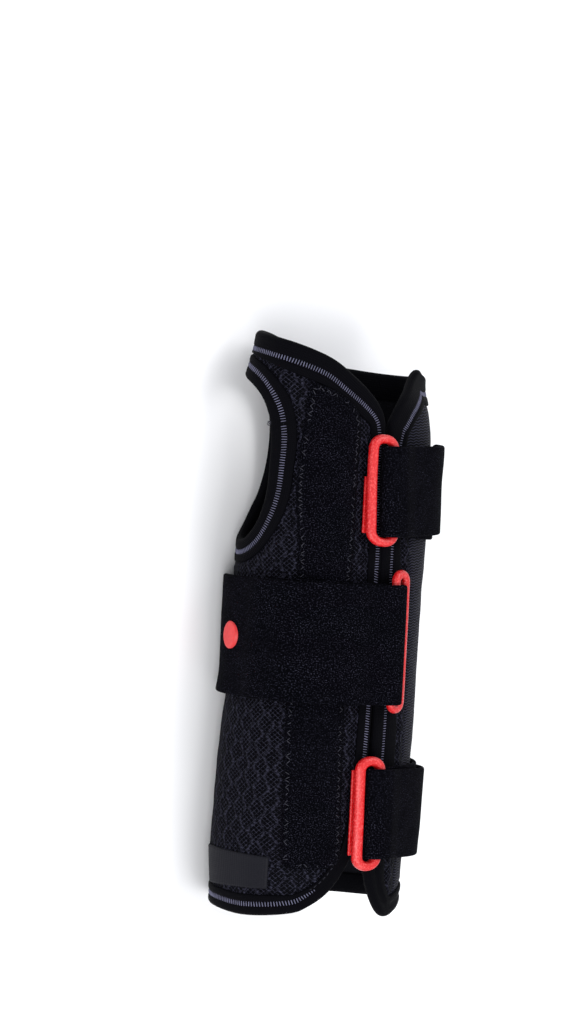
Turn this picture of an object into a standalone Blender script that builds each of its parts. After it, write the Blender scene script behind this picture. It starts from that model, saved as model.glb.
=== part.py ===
# Wrist brace for a right hand, lying on its palm side.
# +Y runs from the forearm to the fingers, +Z from the palm to the back of the hand, -X to the thumb.
import math

import bpy
import numpy as np
from mathutils import Vector
from mathutils.geometry import delaunay_2d_cdt

MM = 0.001

# Body sizes over the outside of the wall
BODY_LENGTH = 200 * MM
WRIST_WIDTH = 69 * MM
WRIST_DEPTH = 54 * MM
WALL = 3 * MM
HAND_LIFT = 9 * MM
PALM_PRESS = 1.2 * MM
BACK_ROUNDNESS = 2.15
PALM_ROUNDNESS = 2.7

# Cloth layers
RIM_THICKNESS = 1.0 * MM
BINDING_THICKNESS = 0.8 * MM
BINDING_WIDTH = 7.5 * MM
POCKET_THICKNESS = 1.6 * MM
LABEL_THICKNESS = 0.5 * MM

# Straps, rings and dot
STRAP_THICKNESS = 1.5 * MM
NARROW_STRAP = 30 * MM
WIDE_STRAP = 40.5 * MM
RING_BAR = 3.4 * MM
RING_FOOT = 0.2 * MM
FOOT_PLATE = 0.75 * MM
FOOT_CORNER = 5.0 * MM
STRAP_CORNER = 3.6 * MM
DOT_DIAMETER = 9.6 * MM
DOT_THICKNESS = 0.9 * MM

# Clearances
GAP = 0.3 * MM
LAYER_GAP = 0.45 * MM
SEAM_GAP = 0.4 * MM

# Facet sizes
EDGE_STEP = 7 * MM
COLUMNS = 26
ROW_STEP = 13 * MM

# Body sections: along (share of BODY_LENGTH), width (of WRIST_WIDTH), depth (of WRIST_DEPTH)
SECTIONS = (
    (0.00, 1.04, 1.00),
    (0.20, 1.03, 1.01),
    (0.45, 1.00, 1.00),
    (0.62, 1.00, 0.96),
    (0.78, 1.05, 0.83),
    (1.00, 1.10, 0.70),
)
BEND_START = 0.56

# Edge of the opened-out wrap: around (share of the girth from the middle of the back towards
# the thumb), along (share of BODY_LENGTH)
WRAP_EDGE = (
    (0.047, 0.120), (0.035, 0.175), (0.025, 0.250), (0.021, 0.350), (0.0245, 0.500),
    (0.0255, 0.620), (0.019, 0.730), (0.009, 0.835), (0.013, 0.862), (0.028, 0.884),
    (0.053, 0.906), (0.088, 0.927), (0.122, 0.946), (0.159, 0.960), (0.227, 0.978),
    (0.300, 0.990), (0.345, 0.992), (0.400, 0.985), (0.480, 0.962), (0.560, 0.948),
    (0.640, 0.942), (0.720, 0.938), (0.790, 0.938), (0.850, 0.943), (0.888, 0.948),
    (0.911, 0.942), (0.935, 0.921), (0.959, 0.893), (0.983, 0.862), (0.996, 0.835),
    (1.011, 0.730), (1.0180, 0.620), (1.0170, 0.500), (1.0135, 0.350), (1.014, 0.250),
    (1.016, 0.175), (1.012, 0.120), (1.003, 0.086), (0.985, 0.048), (0.958, 0.017),
    (0.931, 0.006), (0.895, 0.011), (0.850, 0.020), (0.780, 0.018), (0.700, 0.012),
    (0.600, 0.010), (0.500, 0.010), (0.400, 0.012), (0.345, 0.012), (0.300, 0.013),
    (0.231, 0.014), (0.148, 0.025), (0.118, 0.036), (0.085, 0.057), (0.060, 0.084),
)

# Edge of the thumb hole: around, along
THUMB_HOLE = (
    (0.330, 0.913), (0.290, 0.902), (0.262, 0.882), (0.243, 0.853), (0.234, 0.815),
    (0.235, 0.770), (0.241, 0.720), (0.258, 0.680), (0.282, 0.652), (0.310, 0.638),
    (0.345, 0.640), (0.385, 0.662), (0.415, 0.705), (0.430, 0.765), (0.425, 0.830),
    (0.402, 0.882), (0.368, 0.908),
)

# Seams of the elastic panel: around at the forearm edge, around at the hand edge
FLAP_SEAM = (0.9145, 0.960)
PALM_SEAM = (0.730, 0.725)

# Edge of the pocket on the back of the hand: around, along
POCKET_EDGE = (
    (0.176, 0.880), (0.170, 0.903), (0.150, 0.901), (0.120, 0.889), (0.095, 0.874),
    (0.080, 0.858), (0.077, 0.830), (0.081, 0.710), (0.084, 0.590), (0.083, 0.365),
    (0.077, 0.230), (0.070, 0.130), (0.076, 0.105), (0.092, 0.098), (0.120, 0.097),
    (0.150, 0.096), (0.163, 0.100), (0.169, 0.120), (0.174, 0.225), (0.179, 0.360),
    (0.175, 0.595), (0.184, 0.730),
)

# Rings: around and along of the middle, width, length over all, turn in degrees, foot side
RINGS = {
    "hand_ring": (0.0290, 0.738, 13.5 * MM, 38.5 * MM, 2.5, 1),
    "wrist_ring": (-0.0205, 0.480, 9.4 * MM, 49.0 * MM, 0.0, -1),
    "forearm_ring": (0.0155, 0.190, 13.0 * MM, 39.0 * MM, -2.5, 1),
}

# Straps: ring, width, anchor and free end (around), rise for each length run away from the
# ring, side of the ring on which the strap lies, how far the free end stands off
STRAPS = {
    "hand_strap": ("hand_ring", NARROW_STRAP, -0.270, -0.190, 0.075, -1, 2.6 * MM),
    "wrist_strap": ("wrist_ring", WIDE_STRAP, 0.222, 0.362, 0.000, 1, 0.0),
    "forearm_strap": ("forearm_ring", NARROW_STRAP, -0.270, -0.175, -0.050, -1, 1.2 * MM),
}

# Bare label: around, along of its corners
LABEL = ((0.336, 0.112), (0.187, 0.1125), (0.186, 0.0585), (0.320, 0.049))
# Middle of the dot: around, along
DOT_PLACE = (0.297, 0.474)


def clear_scene():
    for item in list(bpy.data.objects):
        bpy.data.objects.remove(item, do_unlink=True)


# Body surface

SECTION_TABLE = np.array(SECTIONS)
SECTION_CACHE = {}


def share_at(column, along):
    """A column of SECTIONS read at a share of the length, smoothly between the rows."""
    places = SECTION_TABLE[:, 0]
    values = SECTION_TABLE[:, column]
    slopes = np.gradient(values, places)
    along = min(max(along, places[0]), places[-1])
    row = int(np.clip(np.searchsorted(places, along, side="right") - 1, 0, len(places) - 2))
    step = places[row + 1] - places[row]
    t = (along - places[row]) / step
    start = (2 * t**3 - 3 * t**2 + 1) * values[row] + (t**3 - 2 * t**2 + t) * step * slopes[row]
    end = (3 * t**2 - 2 * t**3) * values[row + 1] + (t**3 - t**2) * step * slopes[row + 1]
    return start + end


def section(y):
    """Inner face of the wall at a place along the body, with its running length."""
    key = round(y / MM, 2)
    if key in SECTION_CACHE:
        return SECTION_CACHE[key]
    along = y / BODY_LENGTH
    half_width = share_at(1, along) * WRIST_WIDTH / 2 - WALL
    half_depth = share_at(2, along) * WRIST_DEPTH / 2 - WALL
    bend = max(0.0, (along - BEND_START) / (1 - BEND_START))
    floor = WALL + HAND_LIFT * bend**1.4
    middle = floor + half_depth
    angle = np.linspace(0, 2 * math.pi, 721) + math.pi / 2
    cosine = np.cos(angle)
    sine = np.sin(angle)
    power = np.where(sine > 0, 2 / BACK_ROUNDNESS, 2 / PALM_ROUNDNESS)
    depth = np.where(sine > 0, half_depth, half_depth + PALM_PRESS)
    x = half_width * np.sign(cosine) * np.abs(cosine) ** power
    z = middle + depth * np.sign(sine) * np.abs(sine) ** power
    z = np.maximum(z, floor)
    run = np.concatenate([[0.0], np.cumsum(np.hypot(np.diff(x), np.diff(z)))])
    SECTION_CACHE[key] = (x, z, run)
    return SECTION_CACHE[key]


def place(around, along, height):
    """A point a given height over the inner face of the wall."""
    y = along * BODY_LENGTH
    x_line, z_line, run = section(y)
    girth = run[-1]
    here = (around % 1.0) * girth
    step = 1.2 * MM
    x = np.interp(here, run, x_line)
    z = np.interp(here, run, z_line)
    ahead = (here + step) % girth
    behind = (here - step) % girth
    across = np.interp(ahead, run, x_line) - np.interp(behind, run, x_line)
    rise = np.interp(ahead, run, z_line) - np.interp(behind, run, z_line)
    size = math.hypot(across, rise)
    return (x + rise / size * height, y, z - across / size * height)


GIRTH = section(0.5 * BODY_LENGTH)[2][-1]


def flat(point):
    return (point[0] * GIRTH, point[1] * BODY_LENGTH)


def lift_flat(x, y, height):
    return place(x / GIRTH, y / BODY_LENGTH, height)


# Flat pattern tools

def smooth_loop(corners, step):
    """A closed smooth line through flat corners, as points an even step apart."""
    points = [np.array(flat(corner)) for corner in corners]
    count = len(points)
    line = []
    for index in range(count):
        before, start, end, after = (points[(index + k) % count] for k in (-1, 0, 1, 2))
        for part in range(12):
            t = part / 12
            bend = 2 * start + (end - before) * t
            bend = bend + (2 * before - 5 * start + 4 * end - after) * t**2
            bend = bend + (3 * start - before - 3 * end + after) * t**3
            line.append(bend / 2)
    line = np.array(line)
    closed = np.vstack([line, line[:1]])
    run = np.concatenate([[0.0], np.cumsum(np.hypot(*np.diff(closed, axis=0).T))])
    number = max(8, round(run[-1] / step))
    marks = np.linspace(0, run[-1], number + 1)[:-1]
    return np.column_stack([np.interp(marks, run, closed[:, k]) for k in (0, 1)])


def loop_normals(loop):
    """Unit directions to the left of a loop."""
    along = np.roll(loop, -1, axis=0) - np.roll(loop, 1, axis=0)
    along = along / np.hypot(along[:, 0], along[:, 1])[:, None]
    return np.column_stack([-along[:, 1], along[:, 0]])


def area_of(loop):
    x, y = loop[:, 0], loop[:, 1]
    return 0.5 * float(np.sum(x * np.roll(y, -1) - np.roll(x, -1) * y))


def counter_clockwise(loop):
    return loop if area_of(loop) > 0 else loop[::-1].copy()


def distance_to_loop(point, loop):
    start = loop
    end = np.roll(loop, -1, axis=0)
    side = end - start
    t = np.clip(np.sum((point - start) * side, axis=1) / np.sum(side * side, axis=1), 0, 1)
    near = start + side * t[:, None]
    return float(np.min(np.hypot(*(point - near).T)))


def inside_loop(point, loop):
    x, y = point
    x0, y0 = loop[:, 0], loop[:, 1]
    x1, y1 = np.roll(x0, -1), np.roll(y0, -1)
    crossing = (y0 > y) != (y1 > y)
    rise = np.where(crossing, y1 - y0, 1.0)
    return bool(np.sum(crossing & (x < x0 + (y - y0) / rise * (x1 - x0))) % 2)


# Mesh tools

def add_object(name, points, faces, material):
    mesh = bpy.data.meshes.new(name)
    mesh.from_pydata([Vector(point) for point in points], [], faces)
    mesh.materials.append(material)
    item = bpy.data.objects.new(name, mesh)
    bpy.context.collection.objects.link(item)
    return item


def solid_sheet(name, corners, triangles, heights, material):
    """Two faces over a flat triangle net, closed along its rims."""
    count = len(corners)
    low = [lift_flat(*corners[i], heights[i][0]) for i in range(count)]
    high = [lift_flat(*corners[i], heights[i][1]) for i in range(count)]
    faces = [tuple(t) for t in triangles]
    edges = {}
    for a, b, c in faces:
        for pair in ((a, b), (b, c), (c, a)):
            edges[pair] = True
    rims = [pair for pair in edges if (pair[1], pair[0]) not in edges]
    net = [(c, b, a) for a, b, c in faces]
    net += [(a + count, b + count, c + count) for a, b, c in faces]
    for a, b in rims:
        net.append((a, b, b + count))
        net.append((a, b + count, a + count))
    # around runs towards the thumb, so the flat net is seen from inside the body
    net = [tuple(reversed(face)) for face in net]
    return add_object(name, low + high, net, material)


def swept(name, rings, material, closed, flipped=()):
    """A solid through rings of points of the same count; flipped bands take the other diagonal."""
    count = len(rings[0])
    points = [point for ring in rings for point in ring]
    faces = []
    steps = len(rings) if closed else len(rings) - 1
    for i in range(steps):
        j = (i + 1) % len(rings)
        for k in range(count):
            m = (k + 1) % count
            a, b, c, d = i * count + k, i * count + m, j * count + m, j * count + k
            if k in flipped:
                faces += [(a, b, d), (b, c, d)]
            else:
                faces += [(a, b, c), (a, c, d)]
    if not closed:
        last = (len(rings) - 1) * count
        for k in range(1, count - 1):
            faces.append((0, k + 1, k))
            faces.append((last, last + k, last + k + 1))
    if volume_of(points, faces) < 0:
        faces = [tuple(reversed(face)) for face in faces]
    return add_object(name, points, faces, material)


def volume_of(points, faces):
    spots = np.array(points)
    corners = np.array([face[:3] for face in faces])
    a, b, c = spots[corners[:, 0]], spots[corners[:, 1]], spots[corners[:, 2]]
    return float(np.sum(np.einsum("ij,ij->i", a, np.cross(b, c)))) / 6


def plain_material(name, colour, roughness, metallic=0.0):
    material = bpy.data.materials.new(name)
    material.use_nodes = True
    shader = material.node_tree.nodes["Principled BSDF"]
    shader.inputs["Base Color"].default_value = (*colour, 1)
    shader.inputs["Roughness"].default_value = roughness
    shader.inputs["Metallic"].default_value = metallic
    material.diffuse_color = (*colour, 1)
    return material


# Pieces

def clean_net(points, edges):
    """Triangles of a flat point set, with the constraint edges kept."""
    spots = [Vector((float(x) / MM, float(y) / MM)) for x, y in points]
    result = delaunay_2d_cdt(spots, edges, [], 0, 0.001)
    net_points = np.array([[v.x * MM, v.y * MM] for v in result[0]])
    triangles = []
    for face in result[2]:
        a, b, c = (net_points[i] for i in face)
        turn = (b[0] - a[0]) * (c[1] - a[1]) - (b[1] - a[1]) * (c[0] - a[0])
        if abs(turn) > 1e-12:
            triangles.append(tuple(face) if turn > 0 else tuple(reversed(face)))
    return net_points, triangles


def seam_at(seam, y):
    return (seam[0] + (seam[1] - seam[0]) * y / BODY_LENGTH) * GIRTH


def stations_on_seams(loop):
    """The loop with its nearest point moved onto each seam that crosses it."""
    loop = loop.copy()
    for seam in (FLAP_SEAM, PALM_SEAM):
        sides = [spot[0] - seam_at(seam, spot[1]) for spot in loop]
        for i in range(len(loop)):
            j = (i + 1) % len(loop)
            if sides[i] * sides[j] < 0:
                t = sides[i] / (sides[i] - sides[j])
                loop[i if t < 0.5 else j] = loop[i] + (loop[j] - loop[i]) * t
    return loop


def wall_pieces(outer, hole, mesh_cloth, elastic_cloth):
    """The padded wall, the elastic panel and the strip beside the opening, cut from one net."""
    edge_back = BINDING_THICKNESS + GAP
    wall_edge = outer + loop_normals(outer) * edge_back
    hole_edge = hole - loop_normals(hole) * edge_back
    seams = []
    for seam in (FLAP_SEAM, PALM_SEAM):
        for side in (-0.5, 0.5):
            ends = []
            for y in (-0.05 * BODY_LENGTH, 1.05 * BODY_LENGTH):
                ends.append(np.array((seam_at(seam, y) + side * SEAM_GAP, y)))
            seams.append(ends)
    points = []
    edges = []

    def add_loop(loop):
        start = len(points)
        points.extend(tuple(p) for p in loop)
        size = len(loop)
        edges.extend((start + i, start + (i + 1) % size) for i in range(size))

    add_loop(wall_edge)
    add_loop(hole_edge)
    hole_start = len(wall_edge)

    def far_from_seams(spot, reach):
        for low, high in seams:
            side = high - low
            turn = side[0] * (spot[1] - low[1]) - side[1] * (spot[0] - low[0])
            if abs(turn) / np.hypot(*side) < reach:
                return False
        return True

    rim_depth = BINDING_WIDTH + GAP
    full_depth = rim_depth + 1.6 * MM
    for loop, other, sign, first in ((outer, hole, 1, 0), (hole, outer, -1, hole_start)):
        normals = loop_normals(loop) * sign
        widths = binding_widths(loop, other)
        size = len(loop)
        start = len(points)
        for spot, normal, width in zip(loop, normals, widths):
            points.append(tuple(spot + normal * (width + GAP)))
        for i in range(size):
            j = (i + 1) % size
            edges.append((start + i, start + j))
            edges.append((start + i, first + i))
            edges.append((start + i, first + j))
        for spot in loop + normals * full_depth:
            clear = min(distance_to_loop(spot, outer), distance_to_loop(spot, hole))
            if clear > full_depth * 0.985 and far_from_seams(spot, 1.4 * MM):
                points.append(tuple(spot))
    rows = int(BODY_LENGTH / ROW_STEP)
    for column in range(COLUMNS + 1):
        x = (column / COLUMNS + 0.5 / COLUMNS) * GIRTH
        last_row = -2
        for row in range(rows + 1):
            spot = np.array((x, row * BODY_LENGTH / rows))
            if not inside_loop(spot, outer) or inside_loop(spot, hole):
                continue
            clear = min(distance_to_loop(spot, outer), distance_to_loop(spot, hole))
            if clear > full_depth + 2 * MM and far_from_seams(spot, 2 * MM):
                if last_row == row - 1:
                    edges.append((len(points) - 1, len(points)))
                points.append(tuple(spot))
                last_row = row
    for low, high in seams:
        shares = [i / 18 for i in range(19)]
        clears = []
        for i in range(441):
            spot = low + (high - low) * i / 440
            clear = distance_to_loop(spot, outer)
            clears.append(clear if inside_loop(spot, outer) else -clear)
        for depth in (rim_depth, full_depth):
            for i in range(440):
                if (clears[i] - depth) * (clears[i + 1] - depth) < 0:
                    mark = (i + (depth - clears[i]) / (clears[i + 1] - clears[i])) / 440
                    shares = [s for s in shares if abs(s - mark) > 0.004] + [mark]
        start = len(points)
        for share in sorted(shares):
            points.append(tuple(low + (high - low) * share))
        edges.extend((start + i, start + i + 1) for i in range(len(shares) - 1))
    net, triangles = clean_net(points, edges)
    groups = {"padded_shell": [], "elastic_panel": [], "opening_strip": []}
    for triangle in triangles:
        middle = net[list(triangle)].mean(axis=0)
        if not inside_loop(middle, wall_edge) or inside_loop(middle, hole_edge):
            continue
        flap_side = (middle[0] - seam_at(FLAP_SEAM, middle[1])) / SEAM_GAP
        palm_side = (middle[0] - seam_at(PALM_SEAM, middle[1])) / SEAM_GAP
        if abs(flap_side) < 0.5 or abs(palm_side) < 0.5:
            continue
        if flap_side > 0:
            groups["opening_strip"].append(triangle)
        elif palm_side > 0:
            groups["elastic_panel"].append(triangle)
        else:
            groups["padded_shell"].append(triangle)
    rim = ((WALL - RIM_THICKNESS) / 2, (WALL + RIM_THICKNESS) / 2)
    body = {
        "padded_shell": (0.0, WALL),
        "elastic_panel": rim,
        "opening_strip": (0.0, WALL),
    }
    made = []
    for name, chosen in groups.items():
        used = sorted({i for triangle in chosen for i in triangle})
        order = {old: new for new, old in enumerate(used)}
        corners = [tuple(net[i]) for i in used]
        heights = []
        for corner in corners:
            spot = np.array(corner)
            clear = min(distance_to_loop(spot, outer), distance_to_loop(spot, hole))
            heights.append(rim if clear < rim_depth + 0.8 * MM else body[name])
        local = [tuple(order[i] for i in triangle) for triangle in chosen]
        cloth = elastic_cloth if name == "elastic_panel" else mesh_cloth
        made.append(solid_sheet(name, corners, local, heights, cloth))
    return made


def binding_widths(loop, other):
    """How far the tape reaches in at each place of an edge."""
    widths = []
    count = len(loop)
    for i in range(count):
        before, here, after = loop[i - 1], loop[i], loop[(i + 1) % count]
        a, b, c = (np.hypot(*(p - q)) for p, q in ((here, before), (after, here), (after, before)))
        turn = (here[0] - before[0]) * (after[1] - before[1])
        turn -= (here[1] - before[1]) * (after[0] - before[0])
        radius = a * b * c / max(2 * abs(turn), 1e-12)
        room = distance_to_loop(here, other) / 2 - 1.5 * GAP
        widths.append(min(BINDING_WIDTH, 0.8 * radius, room))
    smooth = [min(widths[i - 1], widths[i], widths[(i + 1) % count]) for i in range(count)]
    return [(smooth[i - 1] + 2 * smooth[i] + smooth[(i + 1) % count]) / 4 for i in range(count)]


def binding(name, loop, other, sign, cloth):
    """Tape folded over an edge of the wall."""
    normals = loop_normals(loop) * sign
    widths = binding_widths(loop, other)
    slot_low = (WALL - RIM_THICKNESS) / 2 - GAP
    slot_high = (WALL + RIM_THICKNESS) / 2 + GAP
    low = slot_low - BINDING_THICKNESS
    high = slot_high + BINDING_THICKNESS
    high = min(high, WALL)
    middle = WALL / 2
    rings = []
    for spot, normal, width in zip(loop, normals, widths):
        profile = (
            (width, high),
            (1.1 * MM, high),
            (0.3 * MM, high - 0.35 * MM),
            (0.0, middle),
            (0.3 * MM, low + 0.35 * MM),
            (1.1 * MM, low),
            (width, low),
            (width, slot_low),
            (BINDING_THICKNESS, slot_low),
            (BINDING_THICKNESS, slot_high),
            (width, slot_high),
        )
        rings.append([lift_flat(*(spot + normal * depth), height) for depth, height in profile])
    # the wall under the tape has its diagonals the same way
    return swept(name, rings, cloth, True, flipped=(5, 9))


def pocket(cloth):
    loop = counter_clockwise(smooth_loop(POCKET_EDGE, EDGE_STEP))
    points = [tuple(p) for p in loop]
    edges = [(i, (i + 1) % len(loop)) for i in range(len(loop))]
    rows = int(BODY_LENGTH / ROW_STEP)
    for column in range(COLUMNS):
        x = (column / COLUMNS + 0.5 / COLUMNS) * GIRTH
        last_row = -2
        for row in range(rows):
            spot = np.array((x, row * BODY_LENGTH / rows))
            if inside_loop(spot, loop) and distance_to_loop(spot, loop) > 1.2 * MM:
                if last_row == row - 1:
                    edges.append((len(points) - 1, len(points)))
                points.append(tuple(spot))
                last_row = row
    net, triangles = clean_net(points, edges)
    chosen = [t for t in triangles if inside_loop(net[list(t)].mean(axis=0), loop)]
    base = WALL + LAYER_GAP
    heights = []
    for corner in net:
        clear = distance_to_loop(corner, loop)
        crown = 0.6 if clear < 1 * MM else 1.0
        heights.append((base, base + POCKET_THICKNESS * crown))
    return solid_sheet("stay_pocket", [tuple(p) for p in net], chosen, heights, cloth)


def ring_frame(name):
    around, along, width, length, turn, foot_side = RINGS[name]
    low = WALL + LAYER_GAP + 0.15 * MM + FOOT_PLATE + RING_BAR / 2
    strap_middle = WALL + LAYER_GAP + STRAP_THICKNESS / 2
    high = strap_middle + fold_radius()
    reach = (width - RING_BAR) / 2
    middle = (around * GIRTH, along * BODY_LENGTH)
    return middle, reach, length, math.radians(turn), foot_side, low, high


def fold_radius():
    return RING_BAR / 2 + LAYER_GAP + STRAP_THICKNESS / 2


def ring(name, plastic):
    (x0, y0), reach, length, turn, foot_side, low, high = ring_frame(name)
    end = (length - RING_BAR) / 2
    path = []
    foot_corner = min(FOOT_CORNER, reach)
    strap_corner = min(STRAP_CORNER, reach)
    foot_run = end - foot_corner
    for k in range(5):
        path.append((reach, foot_run * (k / 2 - 1), 1.0, 0.0, 0 < k < 4))
    corners = (
        (reach - foot_corner, foot_run, foot_corner, 0),
        (strap_corner - reach, end - strap_corner, strap_corner, 90),
        (strap_corner - reach, strap_corner - end, strap_corner, 180),
        (reach - foot_corner, -foot_run, foot_corner, 270),
    )
    for across, along, radius, start in corners:
        for k in range(5):
            if k == 0 and start == 0 or k == 4 and start == 270:
                continue
            angle = math.radians(start + 22.5 * k)
            out_x, out_y = math.cos(angle), math.sin(angle)
            path.append((across + radius * out_x, along + radius * out_y, out_x, out_y, False))
        if start == 90:
            path.append((-reach, 0.0, -1.0, 0.0, False))
    bar = RING_BAR / 2
    rings = []
    for across, along, out_x, out_y, has_foot in path:
        height = low + (high - low) * (reach - across) / (2 * reach)
        profile = []
        for degrees in (0, 30, 60, 90, 120, 150, 180, 210, 240, 255, 270, 285, 300, 330):
            angle = math.radians(degrees)
            profile.append((bar * math.cos(angle), bar * math.sin(angle)))
        if has_foot:
            profile[9] = (-bar * 0.3, -bar - FOOT_PLATE)
            profile[10] = (bar + RING_FOOT, -bar - FOOT_PLATE)
            profile[11] = (bar + RING_FOOT, -bar - 0.1 * MM)
            profile[12] = (bar * 0.4, -bar * 0.95)
        section_points = []
        for out, up in profile:
            px = (across + out * out_x) * foot_side
            py = along + out * out_y
            x = x0 + px * math.cos(turn) - py * math.sin(turn)
            y = y0 + px * math.sin(turn) + py * math.cos(turn)
            section_points.append(lift_flat(x, y, height + up))
        rings.append(section_points)
    return swept(name, rings, plastic, True)


def pocket_height(x):
    """Height of whatever the wide strap lies on at a place around the body."""
    wall_top = WALL
    pocket_top = WALL + LAYER_GAP + POCKET_THICKNESS
    start, full_start = 0.058 * GIRTH, 0.074 * GIRTH
    full_end, end = 0.184 * GIRTH, 0.205 * GIRTH
    blend = np.interp(x, [start, full_start, full_end, end], [0, 1, 1, 0])
    return wall_top + (pocket_top - wall_top) * float(blend)


def strap_path(name):
    """The middle line of a strap: place around and height, from the anchor to the free end."""
    ring_name, width, anchor, end, slope, side, standoff = STRAPS[name]
    (x0, y0), reach, length, turn, foot_side, low, high = ring_frame(ring_name)
    bar_x = x0 + side * reach
    radius = fold_radius()
    step = GIRTH / COLUMNS
    half = STRAP_THICKNESS / 2

    def under(x):
        base = pocket_height(x) if side > 0 else WALL
        away = abs(x - bar_x)
        near = float(np.interp(away, [0, 6 * MM], [1, 0]))
        resting = base + LAYER_GAP + half
        return max(resting, near * (high - radius))

    def over(x):
        away = abs(x - bar_x)
        drop = float(np.interp(away, [0, 3 * MM, 16 * MM], [0, 0.08, 1]))
        past = (x - anchor * GIRTH) * side
        doubled = float(np.interp(past, [1 * MM, 8 * MM], [1, 0]))
        resting = under(x) + (STRAP_THICKNESS + LAYER_GAP) * doubled
        resting += standoff * float(np.interp(away, [8 * MM, 26 * MM], [0, 1]))
        return (high + radius) * (1 - drop) + resting * drop

    marks = [((k + 0.5) / COLUMNS - 1) * GIRTH for k in range(2 * COLUMNS)]
    columns = []
    for mark in marks:
        columns.append(mark)
        columns.append(mark + step / 2)
    first = sorted(x for x in columns if min(anchor * GIRTH, bar_x) + 1.5 * MM < x
                   < max(anchor * GIRTH, bar_x) - 1.5 * MM)
    if side > 0:
        first.reverse()
    path = [(anchor * GIRTH, under(anchor * GIRTH))]
    path += [(x, under(x)) for x in first]
    for k in range(9):
        angle = -math.pi / 2 + math.pi * k / 8
        path.append((bar_x - side * radius * math.cos(angle), high + radius * math.sin(angle)))
    second = sorted(x for x in columns if min(end * GIRTH, bar_x) + 1.5 * MM < x
                    < max(end * GIRTH, bar_x) - 1.5 * MM)
    if side < 0:
        second.reverse()
    path += [(x, over(x)) for x in second]
    path.append((end * GIRTH, over(end * GIRTH)))
    bar_y = y0 + (bar_x - x0) * math.sin(turn)
    slot = length - RING_BAR - 2 * min(STRAP_CORNER, reach)
    return path, width, slope, side, bar_x, bar_y, turn, min(width, slot - 2 * GAP)


def strap(name, cloth):
    path, width, slope, side, bar_x, bar_y, turn, pinched = strap_path(name)
    line = np.array(path)
    along = np.gradient(line, axis=0)
    along = along / np.hypot(along[:, 0], along[:, 1])[:, None]
    normals = np.column_stack([-along[:, 1], along[:, 0]])
    half = STRAP_THICKNESS / 2
    rings = []
    for spot, normal in zip(line, normals):
        corners = []
        for side, edge in ((1, -1), (1, 1), (-1, 1), (-1, -1)):
            x, height = spot + normal * half * side
            away = max(0.0, (x - bar_x) * side)
            follow = float(np.interp(away, [6 * MM, 30 * MM], [1, 0]))
            here = float(np.interp(away, [1 * MM, 9 * MM], [pinched, width]))
            y = bar_y + away * slope + edge * here / 2
            x -= (y - bar_y) * math.tan(turn) * follow
            corners.append(lift_flat(x, y, height))
        rings.append(corners)
    return swept(name, rings, cloth, False)


def label(cloth):
    corners = [np.array(flat(corner)) for corner in LABEL]
    count = 8
    low = WALL + LAYER_GAP
    high = low + LABEL_THICKNESS
    rings = []
    for k in range(count + 1):
        t = k / count
        top = corners[0] + (corners[1] - corners[0]) * t
        bottom = corners[3] + (corners[2] - corners[3]) * t
        rings.append([
            lift_flat(*top, high), lift_flat(*bottom, high),
            lift_flat(*bottom, low), lift_flat(*top, low),
        ])
    return swept("blank_label", rings, cloth, False)


def dot(plastic):
    x0, y0 = flat(DOT_PLACE)
    base = WALL + 2 * LAYER_GAP + STRAP_THICKNESS
    radius = DOT_DIAMETER / 2
    rings = []
    for height, size in ((0.0, 0.35), (0.0, 1.0), (0.6, 1.0), (1.0, 0.86), (1.0, 0.35)):
        ring_points = []
        for k in range(20):
            angle = 2 * math.pi * k / 20
            x = x0 + radius * size * math.cos(angle)
            y = y0 + radius * size * math.sin(angle)
            ring_points.append(lift_flat(x, y, base + DOT_THICKNESS * height))
        rings.append(ring_points)
    return swept("strap_dot", rings, plastic, False)


def centre_on_floor():
    """The middle of the box over the origin, its lowest point on the floor."""
    items = list(bpy.data.objects)
    corners = np.array([v.co for item in items for v in item.data.vertices])
    low = corners.min(axis=0)
    high = corners.max(axis=0)
    shift = Vector((-(low[0] + high[0]) / 2, -(low[1] + high[1]) / 2, -low[2]))
    for item in items:
        for vertex in item.data.vertices:
            vertex.co += shift


def main():
    clear_scene()
    mesh_cloth = plain_material("Black spacer mesh over foam", (0.012, 0.012, 0.018), 0.9)
    elastic_cloth = plain_material("Black ribbed elastic", (0.014, 0.014, 0.020), 0.85)
    tape_cloth = plain_material("Black knitted binding tape", (0.010, 0.010, 0.015), 0.85)
    velour_cloth = plain_material("Black loop velour", (0.010, 0.010, 0.016), 0.95)
    label_cloth = plain_material("Dark grey woven satin", (0.020, 0.020, 0.028), 0.5)
    red_plastic = plain_material("Red moulded nylon", (0.80, 0.02, 0.03), 0.45)
    red_rubber = plain_material("Red moulded rubber", (0.85, 0.05, 0.05), 0.5)

    outer = stations_on_seams(counter_clockwise(smooth_loop(WRAP_EDGE, EDGE_STEP)))
    hole = counter_clockwise(smooth_loop(THUMB_HOLE, EDGE_STEP))
    wall_pieces(outer, hole, mesh_cloth, elastic_cloth)
    binding("edge_binding", outer, hole, 1, tape_cloth)
    binding("thumb_hole_binding", hole, outer, -1, tape_cloth)
    pocket(velour_cloth)
    for name in RINGS:
        ring(name, red_plastic)
    for name in STRAPS:
        strap(name, velour_cloth)
    label(label_cloth)
    dot(red_rubber)
    centre_on_floor()


main()
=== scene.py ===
# Wrist brace: cloth, straps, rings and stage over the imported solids.
# +Y runs from the forearm to the fingers, +Z from the palm to the back of the hand, -X to the thumb.
import math

import bpy
import numpy as np
from mathutils import Euler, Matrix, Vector
from mathutils.geometry import delaunay_2d_cdt


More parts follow.
